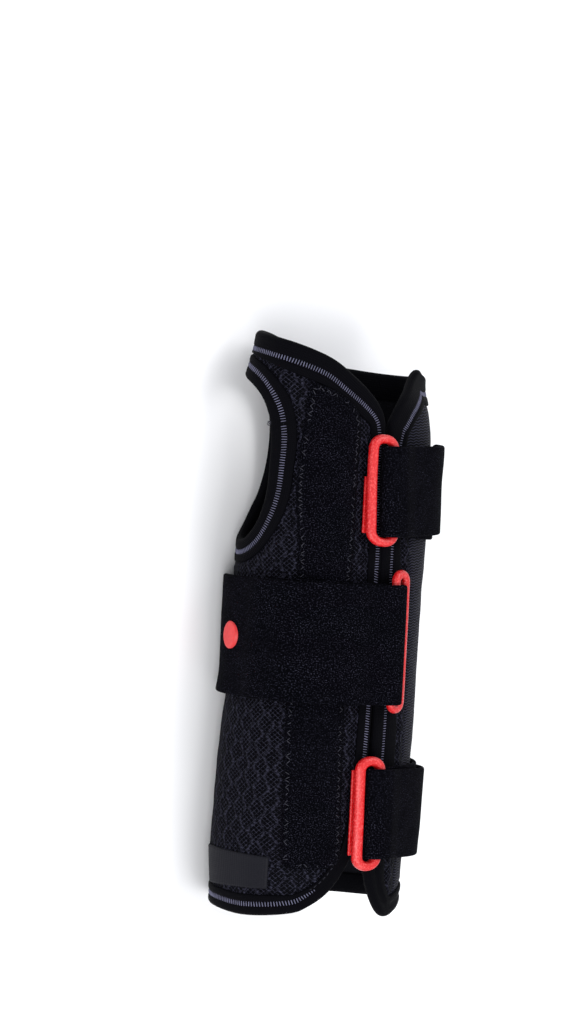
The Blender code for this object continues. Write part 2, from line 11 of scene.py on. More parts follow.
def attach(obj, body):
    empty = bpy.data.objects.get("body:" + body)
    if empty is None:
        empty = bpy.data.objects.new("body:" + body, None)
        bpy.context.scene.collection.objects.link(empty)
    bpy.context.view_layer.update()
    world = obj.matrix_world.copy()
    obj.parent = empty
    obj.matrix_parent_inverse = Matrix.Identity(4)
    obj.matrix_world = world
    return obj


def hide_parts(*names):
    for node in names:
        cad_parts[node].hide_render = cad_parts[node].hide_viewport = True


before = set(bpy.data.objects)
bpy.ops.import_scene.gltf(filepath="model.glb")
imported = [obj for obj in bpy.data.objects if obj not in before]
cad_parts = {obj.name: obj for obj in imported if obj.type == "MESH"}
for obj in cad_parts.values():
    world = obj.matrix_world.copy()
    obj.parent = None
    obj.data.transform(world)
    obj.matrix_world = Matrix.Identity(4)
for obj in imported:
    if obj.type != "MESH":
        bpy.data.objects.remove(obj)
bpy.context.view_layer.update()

bl_info = {
    "name": "Wrist brace",
    "version": (1, 0, 0),
    "blender": (4, 5, 0),
    "location": "3D View > Sidebar > Wrist brace",
    "description": "Dresses the solids of a soft wrist brace in sewn cloth",
    "category": "Add Mesh",
}

MM = 0.001

# Body, as in the part's source
BODY_LENGTH = 200 * MM
WRIST_WIDTH = 69 * MM
WRIST_DEPTH = 54 * MM
WALL = 3 * MM
HAND_LIFT = 9 * MM
PALM_PRESS = 1.2 * MM
BACK_ROUNDNESS = 2.15
PALM_ROUNDNESS = 2.7
BEND_START = 0.56
SHIFT = np.array((-0.01723, -99.98835, 0.0)) * MM
SECTIONS = np.array((
    (0.00, 1.04, 1.00),
    (0.20, 1.03, 1.01),
    (0.45, 1.00, 1.00),
    (0.62, 1.00, 0.96),
    (0.78, 1.05, 0.83),
    (1.00, 1.10, 0.70),
))

# Edges of the opened-out wrap, its thumb hole and the pocket: share around, share along
WRAP_EDGE = (
    (0.041, 0.120), (0.029, 0.175), (0.022, 0.250), (0.020, 0.350), (0.0200, 0.500),
    (0.0165, 0.620), (0.010, 0.730), (0.002, 0.835), (0.006, 0.862), (0.022, 0.884),
    (0.051, 0.906), (0.088, 0.927), (0.122, 0.946), (0.159, 0.960), (0.227, 0.978),
    (0.300, 0.990), (0.345, 0.992), (0.400, 0.985), (0.480, 0.962), (0.560, 0.948),
    (0.640, 0.942), (0.720, 0.938), (0.790, 0.938), (0.836, 0.942), (0.862, 0.948),
    (0.876, 0.945), (0.890, 0.937), (0.911, 0.923), (0.931, 0.909), (0.952, 0.894),
    (0.978, 0.866), (0.992, 0.838),
    (1.007, 0.730), (1.0180, 0.620), (1.0170, 0.500), (1.0135, 0.350), (1.014, 0.250),
    (1.016, 0.175), (1.012, 0.120), (1.003, 0.086), (0.985, 0.048), (0.958, 0.017),
    (0.931, 0.006), (0.895, 0.011), (0.850, 0.020), (0.780, 0.018), (0.700, 0.012),
    (0.600, 0.010), (0.500, 0.010), (0.400, 0.011), (0.345, 0.010), (0.300, 0.009),
    (0.231, 0.008), (0.148, 0.019), (0.118, 0.031), (0.085, 0.054), (0.060, 0.084),
)
THUMB_HOLE = (
    (0.330, 0.913), (0.290, 0.902), (0.262, 0.882), (0.243, 0.853), (0.234, 0.815),
    (0.235, 0.770), (0.241, 0.720), (0.258, 0.680), (0.282, 0.652), (0.310, 0.638),
    (0.345, 0.640), (0.385, 0.662), (0.415, 0.705), (0.430, 0.765), (0.425, 0.830),
    (0.402, 0.882), (0.368, 0.908),
)
POCKET_EDGE = (
    (0.176, 0.880), (0.170, 0.905), (0.150, 0.904), (0.120, 0.894), (0.093, 0.880),
    (0.075, 0.861), (0.070, 0.832), (0.077, 0.710), (0.084, 0.590), (0.083, 0.365),
    (0.077, 0.230), (0.070, 0.130), (0.076, 0.105), (0.092, 0.098), (0.120, 0.097),
    (0.150, 0.096), (0.163, 0.100), (0.169, 0.120), (0.174, 0.225), (0.179, 0.360),
    (0.175, 0.595), (0.184, 0.730),
)
# Seams of the elastic panel: share around at the forearm edge and at the hand edge
FLAP_SEAM = (0.9145, 0.960)
PALM_SEAM = (0.730, 0.725)
SEAM_GAP = 0.4 * MM

# Rings: around and along of the middle, width, length over all, length of the slot, turn
RINGS = {
    "hand_ring": (0.0300, 0.737, 11.0 * MM, 37.7 * MM, 31.6 * MM, 2.5),
    "wrist_ring": (-0.0125, 0.4835, 8.3 * MM, 48.6 * MM, 42.6 * MM, 0.0),
    "forearm_ring": (0.0295, 0.1928, 9.7 * MM, 38.9 * MM, 32.4 * MM, -2.5),
}
# Sewn feet that show beside two rings: middle from the ring's middle, length, turn
FEET = {
    "hand_ring": (5.8 * MM, -5.2 * MM, 19.0 * MM, 4.4),
    "forearm_ring": (5.1 * MM, 0.1 * MM, 29.0 * MM, -1.9),
}
RING_BAR = 3.2 * MM
RING_CORNER = 5.0 * MM
RING_HEIGHT = 3.0 * MM
STRAP_THICKNESS = 1.5 * MM
LAYER_GAP = 0.45 * MM
POCKET_THICKNESS = 1.6 * MM
POCKET_TOP = WALL + LAYER_GAP + POCKET_THICKNESS
# The free end of the wide strap carries its hook tab, which makes it this much thicker
HOOK_TAB = 1.65
# A narrow strap hangs this much wider in its ring than the bar needs
FOLD_SLACK = 1.42
# Straps: ring, width, anchor and free end (around), rise of the top and of the lower layer,
# side of the ring, stand-off of the end, shift along
STRAPS = {
    "hand_strap": ("hand_ring", 30.6 * MM, -0.270, -0.215, 0.045, -0.03, -1, 0.7 * MM, 0.0),
    "wrist_strap": ("wrist_ring", 40.5 * MM, 0.222, 0.362, -0.018, 0.0, 1, 0.5 * MM, -0.9 * MM),
    "forearm_strap": ("forearm_ring", 30.6 * MM, -0.270, -0.205, -0.065, 0.0, -1, 1.0 * MM, 0.0),
}
# Where the body swells or sinks: around, along, reach around, reach along, rise
SWELLS = (
    (0.325, 0.885, 13 * MM, 12 * MM, 2.6 * MM),
    (0.860, 0.730, 24 * MM, 36 * MM, 2.1 * MM),
    (0.860, 0.930, 16 * MM, 9 * MM, -3.4 * MM),
    (0.840, 0.820, 20 * MM, 13 * MM, 0.8 * MM),
    (0.860, 0.420, 24 * MM, 52 * MM, 1.0 * MM),
    (0.345, 0.500, 28 * MM, 34 * MM, -0.8 * MM),
    (0.345, 0.405, 22 * MM, 13 * MM, -0.8 * MM),
    (0.340, 0.015, 24 * MM, 13 * MM, -1.0 * MM),
)
LABEL = ((0.336, 0.112), (0.187, 0.1125), (0.186, 0.0585), (0.320, 0.049))
DOT_PLACE = (0.297, 0.474)
DOT_LEAN = 6.0
# End of the thumb hole tape, on its own start
LAP_PLACE = (0.2335, 0.8385)

# Widest reach of a tape on the inside face, and the step and length of the lap on its own start
TAPE_INSIDE = 9.2 * MM
LAP_RISE = 0.6 * MM
LAP_FADE = 16 * MM
# Heights over the wall's inner face: cloth under a tape, ladder stitches, ring middles, foot middles
TAPE_SEAT = 2.25 * MM
LADDER_SEAT = 2.82 * MM
RING_MIDDLE = 6.5 * MM
FOOT_MIDDLE = 3.8 * MM

# How far in from the tape's fold the cloth ends, and where the inside face is clear of the tape
CLOTH_RIM = 1.1 * MM
LINING_START = 9.5 * MM

# Net spacing of the cloth
NET_STEP = 2.0 * MM
EDGE_STEP = 1.3 * MM


def linear(code):
    """An sRGB hex colour as linear light."""
    parts = [int(code[i:i + 2], 16) / 255 for i in (1, 3, 5)]
    return tuple(c / 12.92 if c <= 0.04045 else ((c + 0.055) / 1.055) ** 2.4 for c in parts)


# Body surface

def section_column(column, along):
    """A column of SECTIONS at shares of the length, smoothly between the rows."""
    places, values = SECTIONS[:, 0], SECTIONS[:, column]
    slopes = np.gradient(values, places)
    along = np.clip(along, 0, 1)
    row = np.clip(np.searchsorted(places, along, side="right") - 1, 0, len(places) - 2)
    step = places[row + 1] - places[row]
    t = (along - places[row]) / step
    start = (2 * t**3 - 3 * t**2 + 1) * values[row] + (t**3 - 2 * t**2 + t) * step * slopes[row]
    end = (3 * t**2 - 2 * t**3) * values[row + 1] + (t**3 - t**2) * step * slopes[row + 1]
    return start + end


ROWS = np.arange(-8, 209) * MM
SHARES = 720


def body_table():
    """Inner face of the wall on a net of rows and even shares around, with its girths."""
    spots = np.zeros((len(ROWS), SHARES, 2))
    girths = np.zeros(len(ROWS))
    angle = np.linspace(0, 2 * math.pi, 1441) + math.pi / 2
    cosine, sine = np.cos(angle), np.sin(angle)
    power = np.where(sine > 0, 2 / BACK_ROUNDNESS, 2 / PALM_ROUNDNESS)
    for row, y in enumerate(ROWS):
        along = y / BODY_LENGTH
        half_width = section_column(1, along) * WRIST_WIDTH / 2 - WALL
        half_depth = section_column(2, along) * WRIST_DEPTH / 2 - WALL
        floor = WALL + HAND_LIFT * max(0.0, (along - BEND_START) / (1 - BEND_START)) ** 1.4
        depth = np.where(sine > 0, half_depth, half_depth + PALM_PRESS)
        x = half_width * np.sign(cosine) * np.abs(cosine) ** power
        z = floor + half_depth + depth * np.sign(sine) * np.abs(sine) ** power
        z = np.maximum(z, floor)
        run = np.concatenate([[0.0], np.cumsum(np.hypot(np.diff(x), np.diff(z)))])
        marks = np.arange(SHARES) / SHARES * run[-1]
        spots[row, :, 0] = np.interp(marks, run, x)
        spots[row, :, 1] = np.interp(marks, run, z)
        girths[row] = run[-1]
    return spots, girths


BODY_SPOTS, GIRTHS = body_table()
AHEAD = np.roll(BODY_SPOTS, -5, axis=1) - np.roll(BODY_SPOTS, 5, axis=1)
GIRTH = float(np.interp(0.5 * BODY_LENGTH, ROWS, GIRTHS))


def lift(x, y, height):
    """World points over flat pattern places; height is over the inner face of the wall."""
    x, y, height = np.broadcast_arrays(*(np.asarray(v, dtype=float) for v in (x, y, height)))
    share = (x / GIRTH) % 1.0 * SHARES
    row = np.clip((y - ROWS[0]) / MM, 0, len(ROWS) - 1.001)
    s0, r0 = np.floor(share).astype(int), np.floor(row).astype(int)
    fs, fr = (share - s0)[..., None], (row - r0)[..., None]
    s0, s1, r1 = s0 % SHARES, (s0 + 1) % SHARES, r0 + 1

    def read(table):
        low = table[r0, s0] * (1 - fs) + table[r0, s1] * fs
        high = table[r1, s0] * (1 - fs) + table[r1, s1] * fs
        return low * (1 - fr) + high * fr

    for around, along, wide, tall, rise in SWELLS:
        off = ((share / SHARES - around + 0.5) % 1.0 - 0.5) * GIRTH / wide
        away = (y - along * BODY_LENGTH) / tall
        height = height + rise * np.exp(-off**2 - away**2)
    spot, ahead = read(BODY_SPOTS), read(AHEAD)
    ahead = ahead / np.linalg.norm(ahead, axis=-1, keepdims=True)
    wx = spot[..., 0] + ahead[..., 1] * height
    wz = spot[..., 1] - ahead[..., 0] * height
    points = np.stack([wx, y, wz], axis=-1) + SHIFT
    points[..., 2] = np.maximum(points[..., 2], 0.0)
    return points


def unevenness(x, y, size=1.0):
    """Slow rise and fall of worn cloth, from -1 to 1."""
    x, y = np.asarray(x) / size, np.asarray(y) / size
    waves = np.sin(x * 410 + 1.3 + 2.1 * np.sin(y * 173)) * np.sin(y * 296 + 0.7)
    waves = waves + 0.6 * np.sin(x * 233 - y * 187 + 2.4) + 0.4 * np.sin(x * 771 + y * 523)
    return waves / 2.0


# Flat pattern tools

def smooth_loop(corners, step):
    """A closed smooth line through flat corners, as points an even step apart."""
    points = np.array(corners) * (GIRTH, BODY_LENGTH)
    before, start = np.roll(points, 1, axis=0), points
    end, after = np.roll(points, -1, axis=0), np.roll(points, -2, axis=0)
    parts = []
    for t in np.arange(0, 1, 1 / 24):
        bend = 2 * start + (end - before) * t + (2 * before - 5 * start + 4 * end - after) * t**2
        parts.append((bend + (3 * start - before - 3 * end + after) * t**3) / 2)
    line = np.stack(parts, axis=1).reshape(-1, 2)
    closed = np.vstack([line, line[:1]])
    run = np.concatenate([[0.0], np.cumsum(np.hypot(*np.diff(closed, axis=0).T))])
    marks = np.linspace(0, run[-1], max(8, round(run[-1] / step)) + 1)[:-1]
    loop = np.column_stack([np.interp(marks, run, closed[:, k]) for k in (0, 1)])
    x, y = loop.T
    return loop if np.sum(x * np.roll(y, -1) - np.roll(x, -1) * y) > 0 else loop[::-1].copy()


def loop_normals(loop):
    """Unit directions to the left of a loop, which is inwards on a counter-clockwise one."""
    along = np.roll(loop, -4, axis=0) - np.roll(loop, 4, axis=0)
    along = along / np.hypot(along[:, 0], along[:, 1])[:, None]
    return np.column_stack([-along[:, 1], along[:, 0]])


def near_loop(points, loop):
    """Distance of each point to a loop, and the nearest station on it."""
    side = np.roll(loop, -1, axis=0) - loop
    size = np.sum(side * side, axis=1)
    far, station = np.zeros(len(points)), np.zeros(len(points), dtype=int)
    for first in range(0, len(points), 2000):
        block = points[first:first + 2000, None, :]
        t = np.clip(np.sum((block - loop) * side, axis=2) / size, 0, 1)
        gap = np.linalg.norm(block - loop - side * t[..., None], axis=2)
        station[first:first + 2000] = np.argmin(gap, axis=1)
        far[first:first + 2000] = np.min(gap, axis=1)
    return far, station


def inside(points, loop):
    """Which flat points lie inside a closed loop."""
    x, y = points[:, :1], points[:, 1:]
    x0, y0 = loop[:, 0], loop[:, 1]
    x1, y1 = np.roll(x0, -1), np.roll(y0, -1)
    crossing = (y0 > y) != (y1 > y)
    rise = np.where(y1 == y0, 1.0, y1 - y0)
    return np.sum(crossing & (x < x0 + (y - y0) / rise * (x1 - x0)), axis=1) % 2 == 1


def seam_at(seam, y):
    """Flat place of a seam around the body, at places along it."""
    return (seam[0] + (seam[1] - seam[0]) * y / BODY_LENGTH) * GIRTH


OUTER = smooth_loop(WRAP_EDGE, EDGE_STEP)
HOLE = smooth_loop(THUMB_HOLE, EDGE_STEP)
POCKET = smooth_loop(POCKET_EDGE, EDGE_STEP)


def even_out(values, reach):
    """A running mean around a closed row of values."""
    return sum(np.roll(values, k) for k in range(-reach, reach + 1)) / (2 * reach + 1)


def tape_widths(loop, other, full, crowding):
    """How far the tape reaches in, kept short in tight bends and between two edges."""
    before, after = np.roll(loop, 6, axis=0), np.roll(loop, -6, axis=0)
    a, b, c = (np.hypot(*(p - q).T) for p, q in ((loop, before), (after, loop), (after, before)))
    turn = (loop[:, 0] - before[:, 0]) * (after[:, 1] - before[:, 1])
    turn = turn - (loop[:, 1] - before[:, 1]) * (after[:, 0] - before[:, 0])
    radius = a * b * c / np.maximum(2 * np.abs(turn), 1e-12)
    # only a bend towards the cloth crowds the tape
    radius = np.where(turn > 0, radius, 1.0) if other is HOLE else np.where(turn < 0, radius, 1.0)
    room = near_loop(loop, other)[0] / 2 - 0.4 * MM
    widths = np.minimum(np.minimum(full, crowding * radius), room)
    for k in range(1, 12):
        widths = np.minimum(widths, np.minimum(np.roll(widths, k), np.roll(widths, -k)) + k * 0.5 * MM)
    return even_out(widths, 6)


def edge_regions(loop):
    """How much each station belongs to either side of the opening, the forearm and its corner."""
    around = loop[:, 0] / GIRTH
    along = loop[:, 1] / BODY_LENGTH
    left = np.interp(along, (0.06, 0.16, 0.80, 0.90), (0, 1, 1, 0)) * (around < 0.07)
    right = np.interp(along, (0.06, 0.16, 0.76, 0.86), (0, 1, 1, 0)) * (around > 0.96)
    low = np.interp(along, (0.05, 0.13), (1, 0))
    corner = (around > 0.03) & (around < 0.14) & (along < 0.17)
    flap = np.interp(around, (0.80, 0.84, 0.90, 0.985, 1.0), (0, 0.3, 1, 1, 0)) * (along > 0.80)
    tip = np.exp(-((around - 0.868) / 0.024) ** 2) * (along > 0.80)
    return [even_out(v * 1.0, 6) for v in (left, right, low, corner, flap, tip)]


LEFT, RIGHT, LOW, CORNER, FLAP, TIP = edge_regions(OUTER)
TO_SEAM = OUTER[:, 0] - seam_at(FLAP_SEAM, OUTER[:, 1])
OUTER_FULL = (9.9 - 4.3 * LEFT - 2.7 * LOW - 1.6 * CORNER + 3.4 * TIP) * MM
OUTER_FULL = OUTER_FULL * (1 - RIGHT) + np.clip(TO_SEAM - 4.5 * MM, 8 * MM, 11.5 * MM) * RIGHT
OUTER_WIDTH = tape_widths(OUTER, HOLE, OUTER_FULL, 1.15 + 2.5 * TIP)
HOLE_WIDTH = tape_widths(HOLE, OUTER, 8.4 * MM, 1.15)
OUTER_LADDER = (5.9 - 3.7 * LEFT - 1.2 * RIGHT - 2.0 * LOW + 1.3 * FLAP + 2.6 * TIP) * MM
OUTER_LADDER = np.maximum(np.minimum(OUTER_LADDER, OUTER_WIDTH - 1.7 * MM), 1.6 * MM)
HOLE_LADDER = np.minimum(4.7 * MM, HOLE_WIDTH - 1.5 * MM)


# Mesh tools

def deselect():
    """Leaves edit mode and selects nothing."""
    if bpy.context.object and bpy.context.object.mode != "OBJECT":
        bpy.ops.object.mode_set(mode="OBJECT")
    bpy.ops.object.select_all(action="DESELECT")


def edit(action):
    """Opens the active piece in edit mode, with all or none of it selected."""
    bpy.ops.object.mode_set(mode="EDIT")
    bpy.ops.mesh.select_all(action=action)


def cloth_object(name, points, faces, uvs, materials, lining=None):
    """A smooth-shaded piece; uvs holds one flat place in metres for each corner of each face."""
    mesh = bpy.data.meshes.new(name)
    mesh.from_pydata(points.tolist(), [], [tuple(face) for face in faces])
    layer = mesh.uv_layers.new(name="cloth")
    layer.data.foreach_set("uv", (np.asarray(uvs) / BODY_LENGTH).ravel())
    for material in materials:
        mesh.materials.append(material)
    if lining is not None:
        mesh.polygons.foreach_set("material_index", np.asarray(lining, dtype=np.int32))
    mesh.polygons.foreach_set("use_smooth", np.ones(len(mesh.polygons), dtype=bool))
    mesh.update()
    piece = bpy.data.objects.new(name, mesh)
    bpy.context.collection.objects.link(piece)
    return piece


def net_between(loops, keep, step):
    """Triangles of an even net of flat points inside the closed loops."""
    points = np.vstack(loops)
    edges = []
    first = 0
    for loop in loops:
        edges += [(first + i, first + (i + 1) % len(loop)) for i in range(len(loop))]
        first += len(loop)
    low, high = points.min(axis=0), points.max(axis=0)
    columns = np.arange(low[0], high[0], step)
    rows = np.arange(low[1], high[1], step * 0.87)
    grid = np.array([(x + step / 2 * (r % 2), y) for r, y in enumerate(rows) for x in columns])
    grid = grid[keep(grid)]
    clear = np.min([near_loop(grid, loop)[0] for loop in loops], axis=0)
    grid = grid[clear > 0.55 * step]
    spots = [Vector(p) for p in np.vstack([points, grid]) / MM]
    result = delaunay_2d_cdt(spots, edges, [], 0, 1e-5)
    net = np.array([tuple(v) for v in result[0]]) * MM
    faces = np.array([face for face in result[2] if len(face) == 3])
    a, b, c = (net[faces[:, k]] for k in range(3))
    turn = (b[:, 0] - a[:, 0]) * (c[:, 1] - a[:, 1]) - (b[:, 1] - a[:, 1]) * (c[:, 0] - a[:, 0])
    faces = np.where((turn > 0)[:, None], faces, faces[:, ::-1])
    faces = faces[(np.abs(turn) > 1e-12) & keep((a + b + c) / 3)]
    used, order = np.unique(faces, return_inverse=True)
    return net[used], order.reshape(-1, 3)


def sheet_piece(name, net, faces, low, high, materials):
    """Cloth between two heights over a flat net, closed along its rims."""
    count = len(net)
    points = np.vstack([lift(net[:, 0], net[:, 1], low), lift(net[:, 0], net[:, 1], high)])
    pairs = np.vstack([faces[:, (0, 1)], faces[:, (1, 2)], faces[:, (2, 0)]])
    known = {(a, b) for a, b in pairs.tolist()}
    rims = [(a, b) for a, b in known if (b, a) not in known]
    walls = [(b, a, a + count, b + count) for a, b in rims]
    # around runs towards the thumb, so the flat net is seen from inside the body
    every = [tuple(f) for f in faces] + [tuple(f) for f in (faces[:, ::-1] + count)] + walls
    every = [tuple(int(i) for i in face) for face in every]
    flat = np.vstack([net, net])
    uvs = np.array([flat[i] for face in every for i in face])
    lining = [1 if len(materials) > 1 and k < len(faces) else 0 for k in range(len(every))]
    return cloth_object(name, points, every, uvs, materials, lining)


def swept_piece(name, rings, run, across, closed, materials):
    """A piece through rings of points; run and across are its cloth lengths in metres."""
    steps, count = rings.shape[:2]
    faces, uvs = [], []
    for i in range(steps if closed else steps - 1):
        j = (i + 1) % steps
        for k in range(count):
            m = (k + 1) % count
            faces.append((i * count + k, i * count + m, j * count + m, j * count + k))
            uvs += [(run[i], across[k]), (run[i], across[k + 1]),
                    (run[i + 1], across[k + 1]), (run[i + 1], across[k])]
    if not closed:
        for base, turn in ((0, 1), ((steps - 1) * count, -1)):
            cap = [base + k for k in range(count)][::-turn]
            faces.append(tuple(cap))
            uvs += [(run[0], across[k - base]) for k in cap]
    points = rings.reshape(-1, 3)
    piece = cloth_object(name, points, faces, uvs, materials)
    deselect()
    piece.select_set(True)
    bpy.context.view_layer.objects.active = piece
    edit("SELECT")
    bpy.ops.mesh.normals_make_consistent(inside=False)
    bpy.ops.object.mode_set(mode="OBJECT")
    return piece


def run_of(points, closed):
    """Running length along a row of points."""
    line = np.vstack([points, points[:1]]) if closed else points
    return np.concatenate([[0.0], np.cumsum(np.linalg.norm(np.diff(line, axis=0), axis=1))])


def stitches(name, spots, ways, length, width, thread, rise, materials):
    """Small arched bars of thread: flat middles, unit flat directions, sizes and base heights."""
    stations = ((-1.0, 0.5, 0.0), (-0.72, 0.95, 0.75), (0.0, 1.0, 1.0),
                (0.72, 0.95, 0.75), (1.0, 0.5, 0.0))
    corners = ((-1.0, -0.25), (-0.6, 0.8), (0.6, 0.8), (1.0, -0.25))
    shape = np.array([(a, w * c, up * h if h > 0 else h) for a, w, up in stations for c, h in corners])
    side = np.column_stack([-ways[:, 1], ways[:, 0]])
    length, width, rise = (np.broadcast_to(v, len(spots))[:, None] for v in (length, width, rise))
    flat = spots[:, None, :] + ways[:, None, :] * (shape[:, 0] * length / 2)[..., None]
    flat = flat + side[:, None, :] * (shape[:, 1] * width / 2)[..., None]
    points = lift(flat[..., 0], flat[..., 1], rise + shape[:, 2] * thread).reshape(-1, 3)
    bar = [(s * 4 + k, s * 4 + (k + 1) % 4, s * 4 + 4 + (k + 1) % 4, s * 4 + 4 + k)
           for s in range(4) for k in range(4)] + [(3, 2, 1, 0), (16, 17, 18, 19)]
    bar = np.array(bar)[:, ::-1]
    faces = (bar[None] + 20 * np.arange(len(spots))[:, None, None]).reshape(-1, 4)
    # a thread's own place runs along it, so that its twist follows it
    local = np.column_stack([shape[:, 0] * 1.0, shape[:, 1] * 0.2]) * MM
    uvs = np.tile(local[bar.ravel()], (len(spots), 1))
    return cloth_object(name, points, faces.tolist(), uvs, materials)


def ladder(loop, offset, pitch):
    """Even places and inward directions along a line inside a loop."""
    normals = loop_normals(loop)
    line = loop + normals * np.asarray(offset)[..., None]
    run = run_of(line, True)
    marks = np.arange(0, run[-1] - pitch / 2, run[-1] / round(run[-1] / pitch))
    closed = np.vstack([line, line[:1]])
    turned = np.vstack([normals, normals[:1]])
    spots = np.column_stack([np.interp(marks, run, closed[:, k]) for k in (0, 1)])
    ways = np.column_stack([np.interp(marks, run, turned[:, k]) for k in (0, 1)])
    return spots, ways / np.linalg.norm(ways, axis=1)[:, None], marks


def turned(ways, degrees):
    angle = np.radians(degrees)
    return np.column_stack([
        ways[:, 0] * np.cos(angle) - ways[:, 1] * np.sin(angle),
        ways[:, 0] * np.sin(angle) + ways[:, 1] * np.cos(angle),
    ])


def belongs(piece, slot, *nodes):
    """The piece rides on the brace and stands for its solids; the slot it is given is not used."""
    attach(piece, "root")
    if nodes:
        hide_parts(*nodes)
    return piece


# Materials

def add(tree, kind, feeds=(), **settings):
    """Adds a node with its settings, and fills its inputs by number or name."""
    node = tree.nodes.new("ShaderNode" + kind)
    for key, value in settings.items():
        setattr(node, key, value)
    for key, value in (feeds.items() if isinstance(feeds, dict) else enumerate(feeds)):
        socket = node.inputs[key]
        if isinstance(value, bpy.types.Node):
            value = value.outputs[0]
        if isinstance(value, bpy.types.NodeSocket):
            tree.links.new(value, socket)
        else:
            socket.default_value = (*value, 1) if socket.type == "RGBA" else value
    return node


def start_finish(name, tint, solid=False, **sockets):
    """A new material, its tree and a place: in the object if solid, else on the cloth in mm."""
    material = bpy.data.materials.new(name)
    material.use_nodes = True
    material.diffuse_color = (*tint, 1)
    tree = material.node_tree
    for key, value in sockets.items():
        tree.nodes["Principled BSDF"].inputs[key.replace("_", " ")].default_value = value
    if solid:
        return material, tree, add(tree, "TexCoord").outputs["Object"]
    flat = add(tree, "UVMap", uv_map="cloth")
    unit = BODY_LENGTH / MM
    place = add(tree, "VectorMath", (flat, (unit, unit, 0)), operation="MULTIPLY")
    return material, tree, place


def end_finish(material, share, dark, light, height=None, depth=0.0):
    """Colours a material from dark to light by a share, with relief of a given depth in metres."""
    tree = material.node_tree
    shader = tree.nodes["Principled BSDF"]
    colour = add(tree, "Mix", {0: share, 6: dark, 7: light}, data_type="RGBA")
    tree.links.new(colour.outputs[2], shader.inputs["Base Color"])
    if height:
        bump = add(tree, "Bump", {"Strength": 1.0, "Distance": depth, "Height": height})
        tree.links.new(bump.outputs[0], shader.inputs["Normal"])
    return material


def waves(tree, value, pitch):
    """A sine along a value that comes back at every pitch."""
    turns = add(tree, "Math", (value, 2 * math.pi / pitch), operation="MULTIPLY")
    return add(tree, "Math", (turns,), operation="SINE")


def weave(tree, place, along, across):
    """Threads that cross at two pitches in millimetres, from 0 to 1."""
    sides = add(tree, "SeparateXYZ", (place,))
    both = (waves(tree, sides.outputs[1], across), waves(tree, sides.outputs[0], along))
    return add(tree, "MapRange", (add(tree, "Math", both, operation="ADD"), -2.0, 2.0, 0.0, 1.0))


def spacer_mesh(look):
    """Warp-knitted polyester spacer mesh: a net of thin threads over dark holes, in wavy fields."""
    material, tree, place = start_finish(
        "Knitted spacer mesh", look.mesh_dark, Roughness=0.6, Sheen_Weight=0.002,
        Sheen_Roughness=0.4, Specular_IOR_Level=0.02,
    )
    sides = add(tree, "SeparateXYZ", (place,))
    wobble = add(tree, "TexNoise", {"Vector": place, "Scale": 0.12, "Detail": 1.0})
    drift = add(tree, "Math", (wobble, 3.2), operation="MULTIPLY")
    u, v = add(tree, "Math", (sides.outputs[0], drift), operation="ADD"), sides.outputs[1]
    # bands 3.5 mm apart meet and part every 7.2 mm
    sway = add(tree, "Math", (waves(tree, v, 7.2), 0.85), operation="MULTIPLY")
    even = add(tree, "Math", (u, sway), operation="SUBTRACT")
    even = add(tree, "Math", (even, 3.5), operation="PINGPONG")
    odd = add(tree, "Math", (u, sway), operation="ADD")
    odd = add(tree, "Math", (odd, -3.5), operation="ADD")
    odd = add(tree, "Math", (odd, 3.5), operation="PINGPONG")
    near = add(tree, "Math", (even, odd), operation="MINIMUM")
    band = add(tree, "MapRange", (near, 0.10, 0.75, 1.0, 0.0), interpolation_type="SMOOTHSTEP")
    # threads of the net 1.15 mm apart, on two slanted ways
    rows = []
    for way in ((0.62, 0.60, 0), (-0.55, 0.67, 0)):
        turns = tuple(2 * math.pi * w for w in way)
        row = add(tree, "VectorMath", (place, turns), operation="DOT_PRODUCT").outputs["Value"]
        row = add(tree, "Math", (drift, row), operation="ADD")
        rows.append(add(tree, "Math", (row,), operation="SINE"))
    net = add(tree, "Math", rows, operation="MAXIMUM")
    net = add(tree, "MapRange", (net, 0.80, 0.995, 0.0, 1.0), interpolation_type="SMOOTHSTEP")
    # rows of loops across the bands, 1 mm apart
    loops = add(tree, "MapRange", (waves(tree, v, 1.0), -1.0, 1.0, 0.30, 0.85))
    bands = add(tree, "Math", (band, loops), operation="MULTIPLY")
    thread = add(tree, "Math", (net, bands), operation="MAXIMUM")
    fuzz = add(tree, "TexNoise", {"Vector": place, "Scale": 1.1, "Detail": 3.0, "Roughness": 0.75})
    lit = add(tree, "MapRange", (fuzz, 0.42, 0.68, 0.08, 1.7))
    share = add(tree, "Math", (thread, lit), operation="MULTIPLY")
    height = add(tree, "Math", (band, thread), operation="ADD")
    return end_finish(material, share, look.mesh_dark, look.mesh_light, height, 0.4 * MM)


def brushed_lining(look):
    """Brushed knit lining: matt, soft and even."""
    material, tree, place = start_finish(
        "Brushed knit lining", look.velour, Roughness=0.95, Sheen_Weight=0.02,
        Sheen_Roughness=0.6, Specular_IOR_Level=0.05,
    )
    nap = add(tree, "TexNoise", {"Vector": place, "Scale": 1.6, "Detail": 3.0})
    return end_finish(material, nap, linear("#040406"), linear("#101016"), nap, 0.2 * MM)


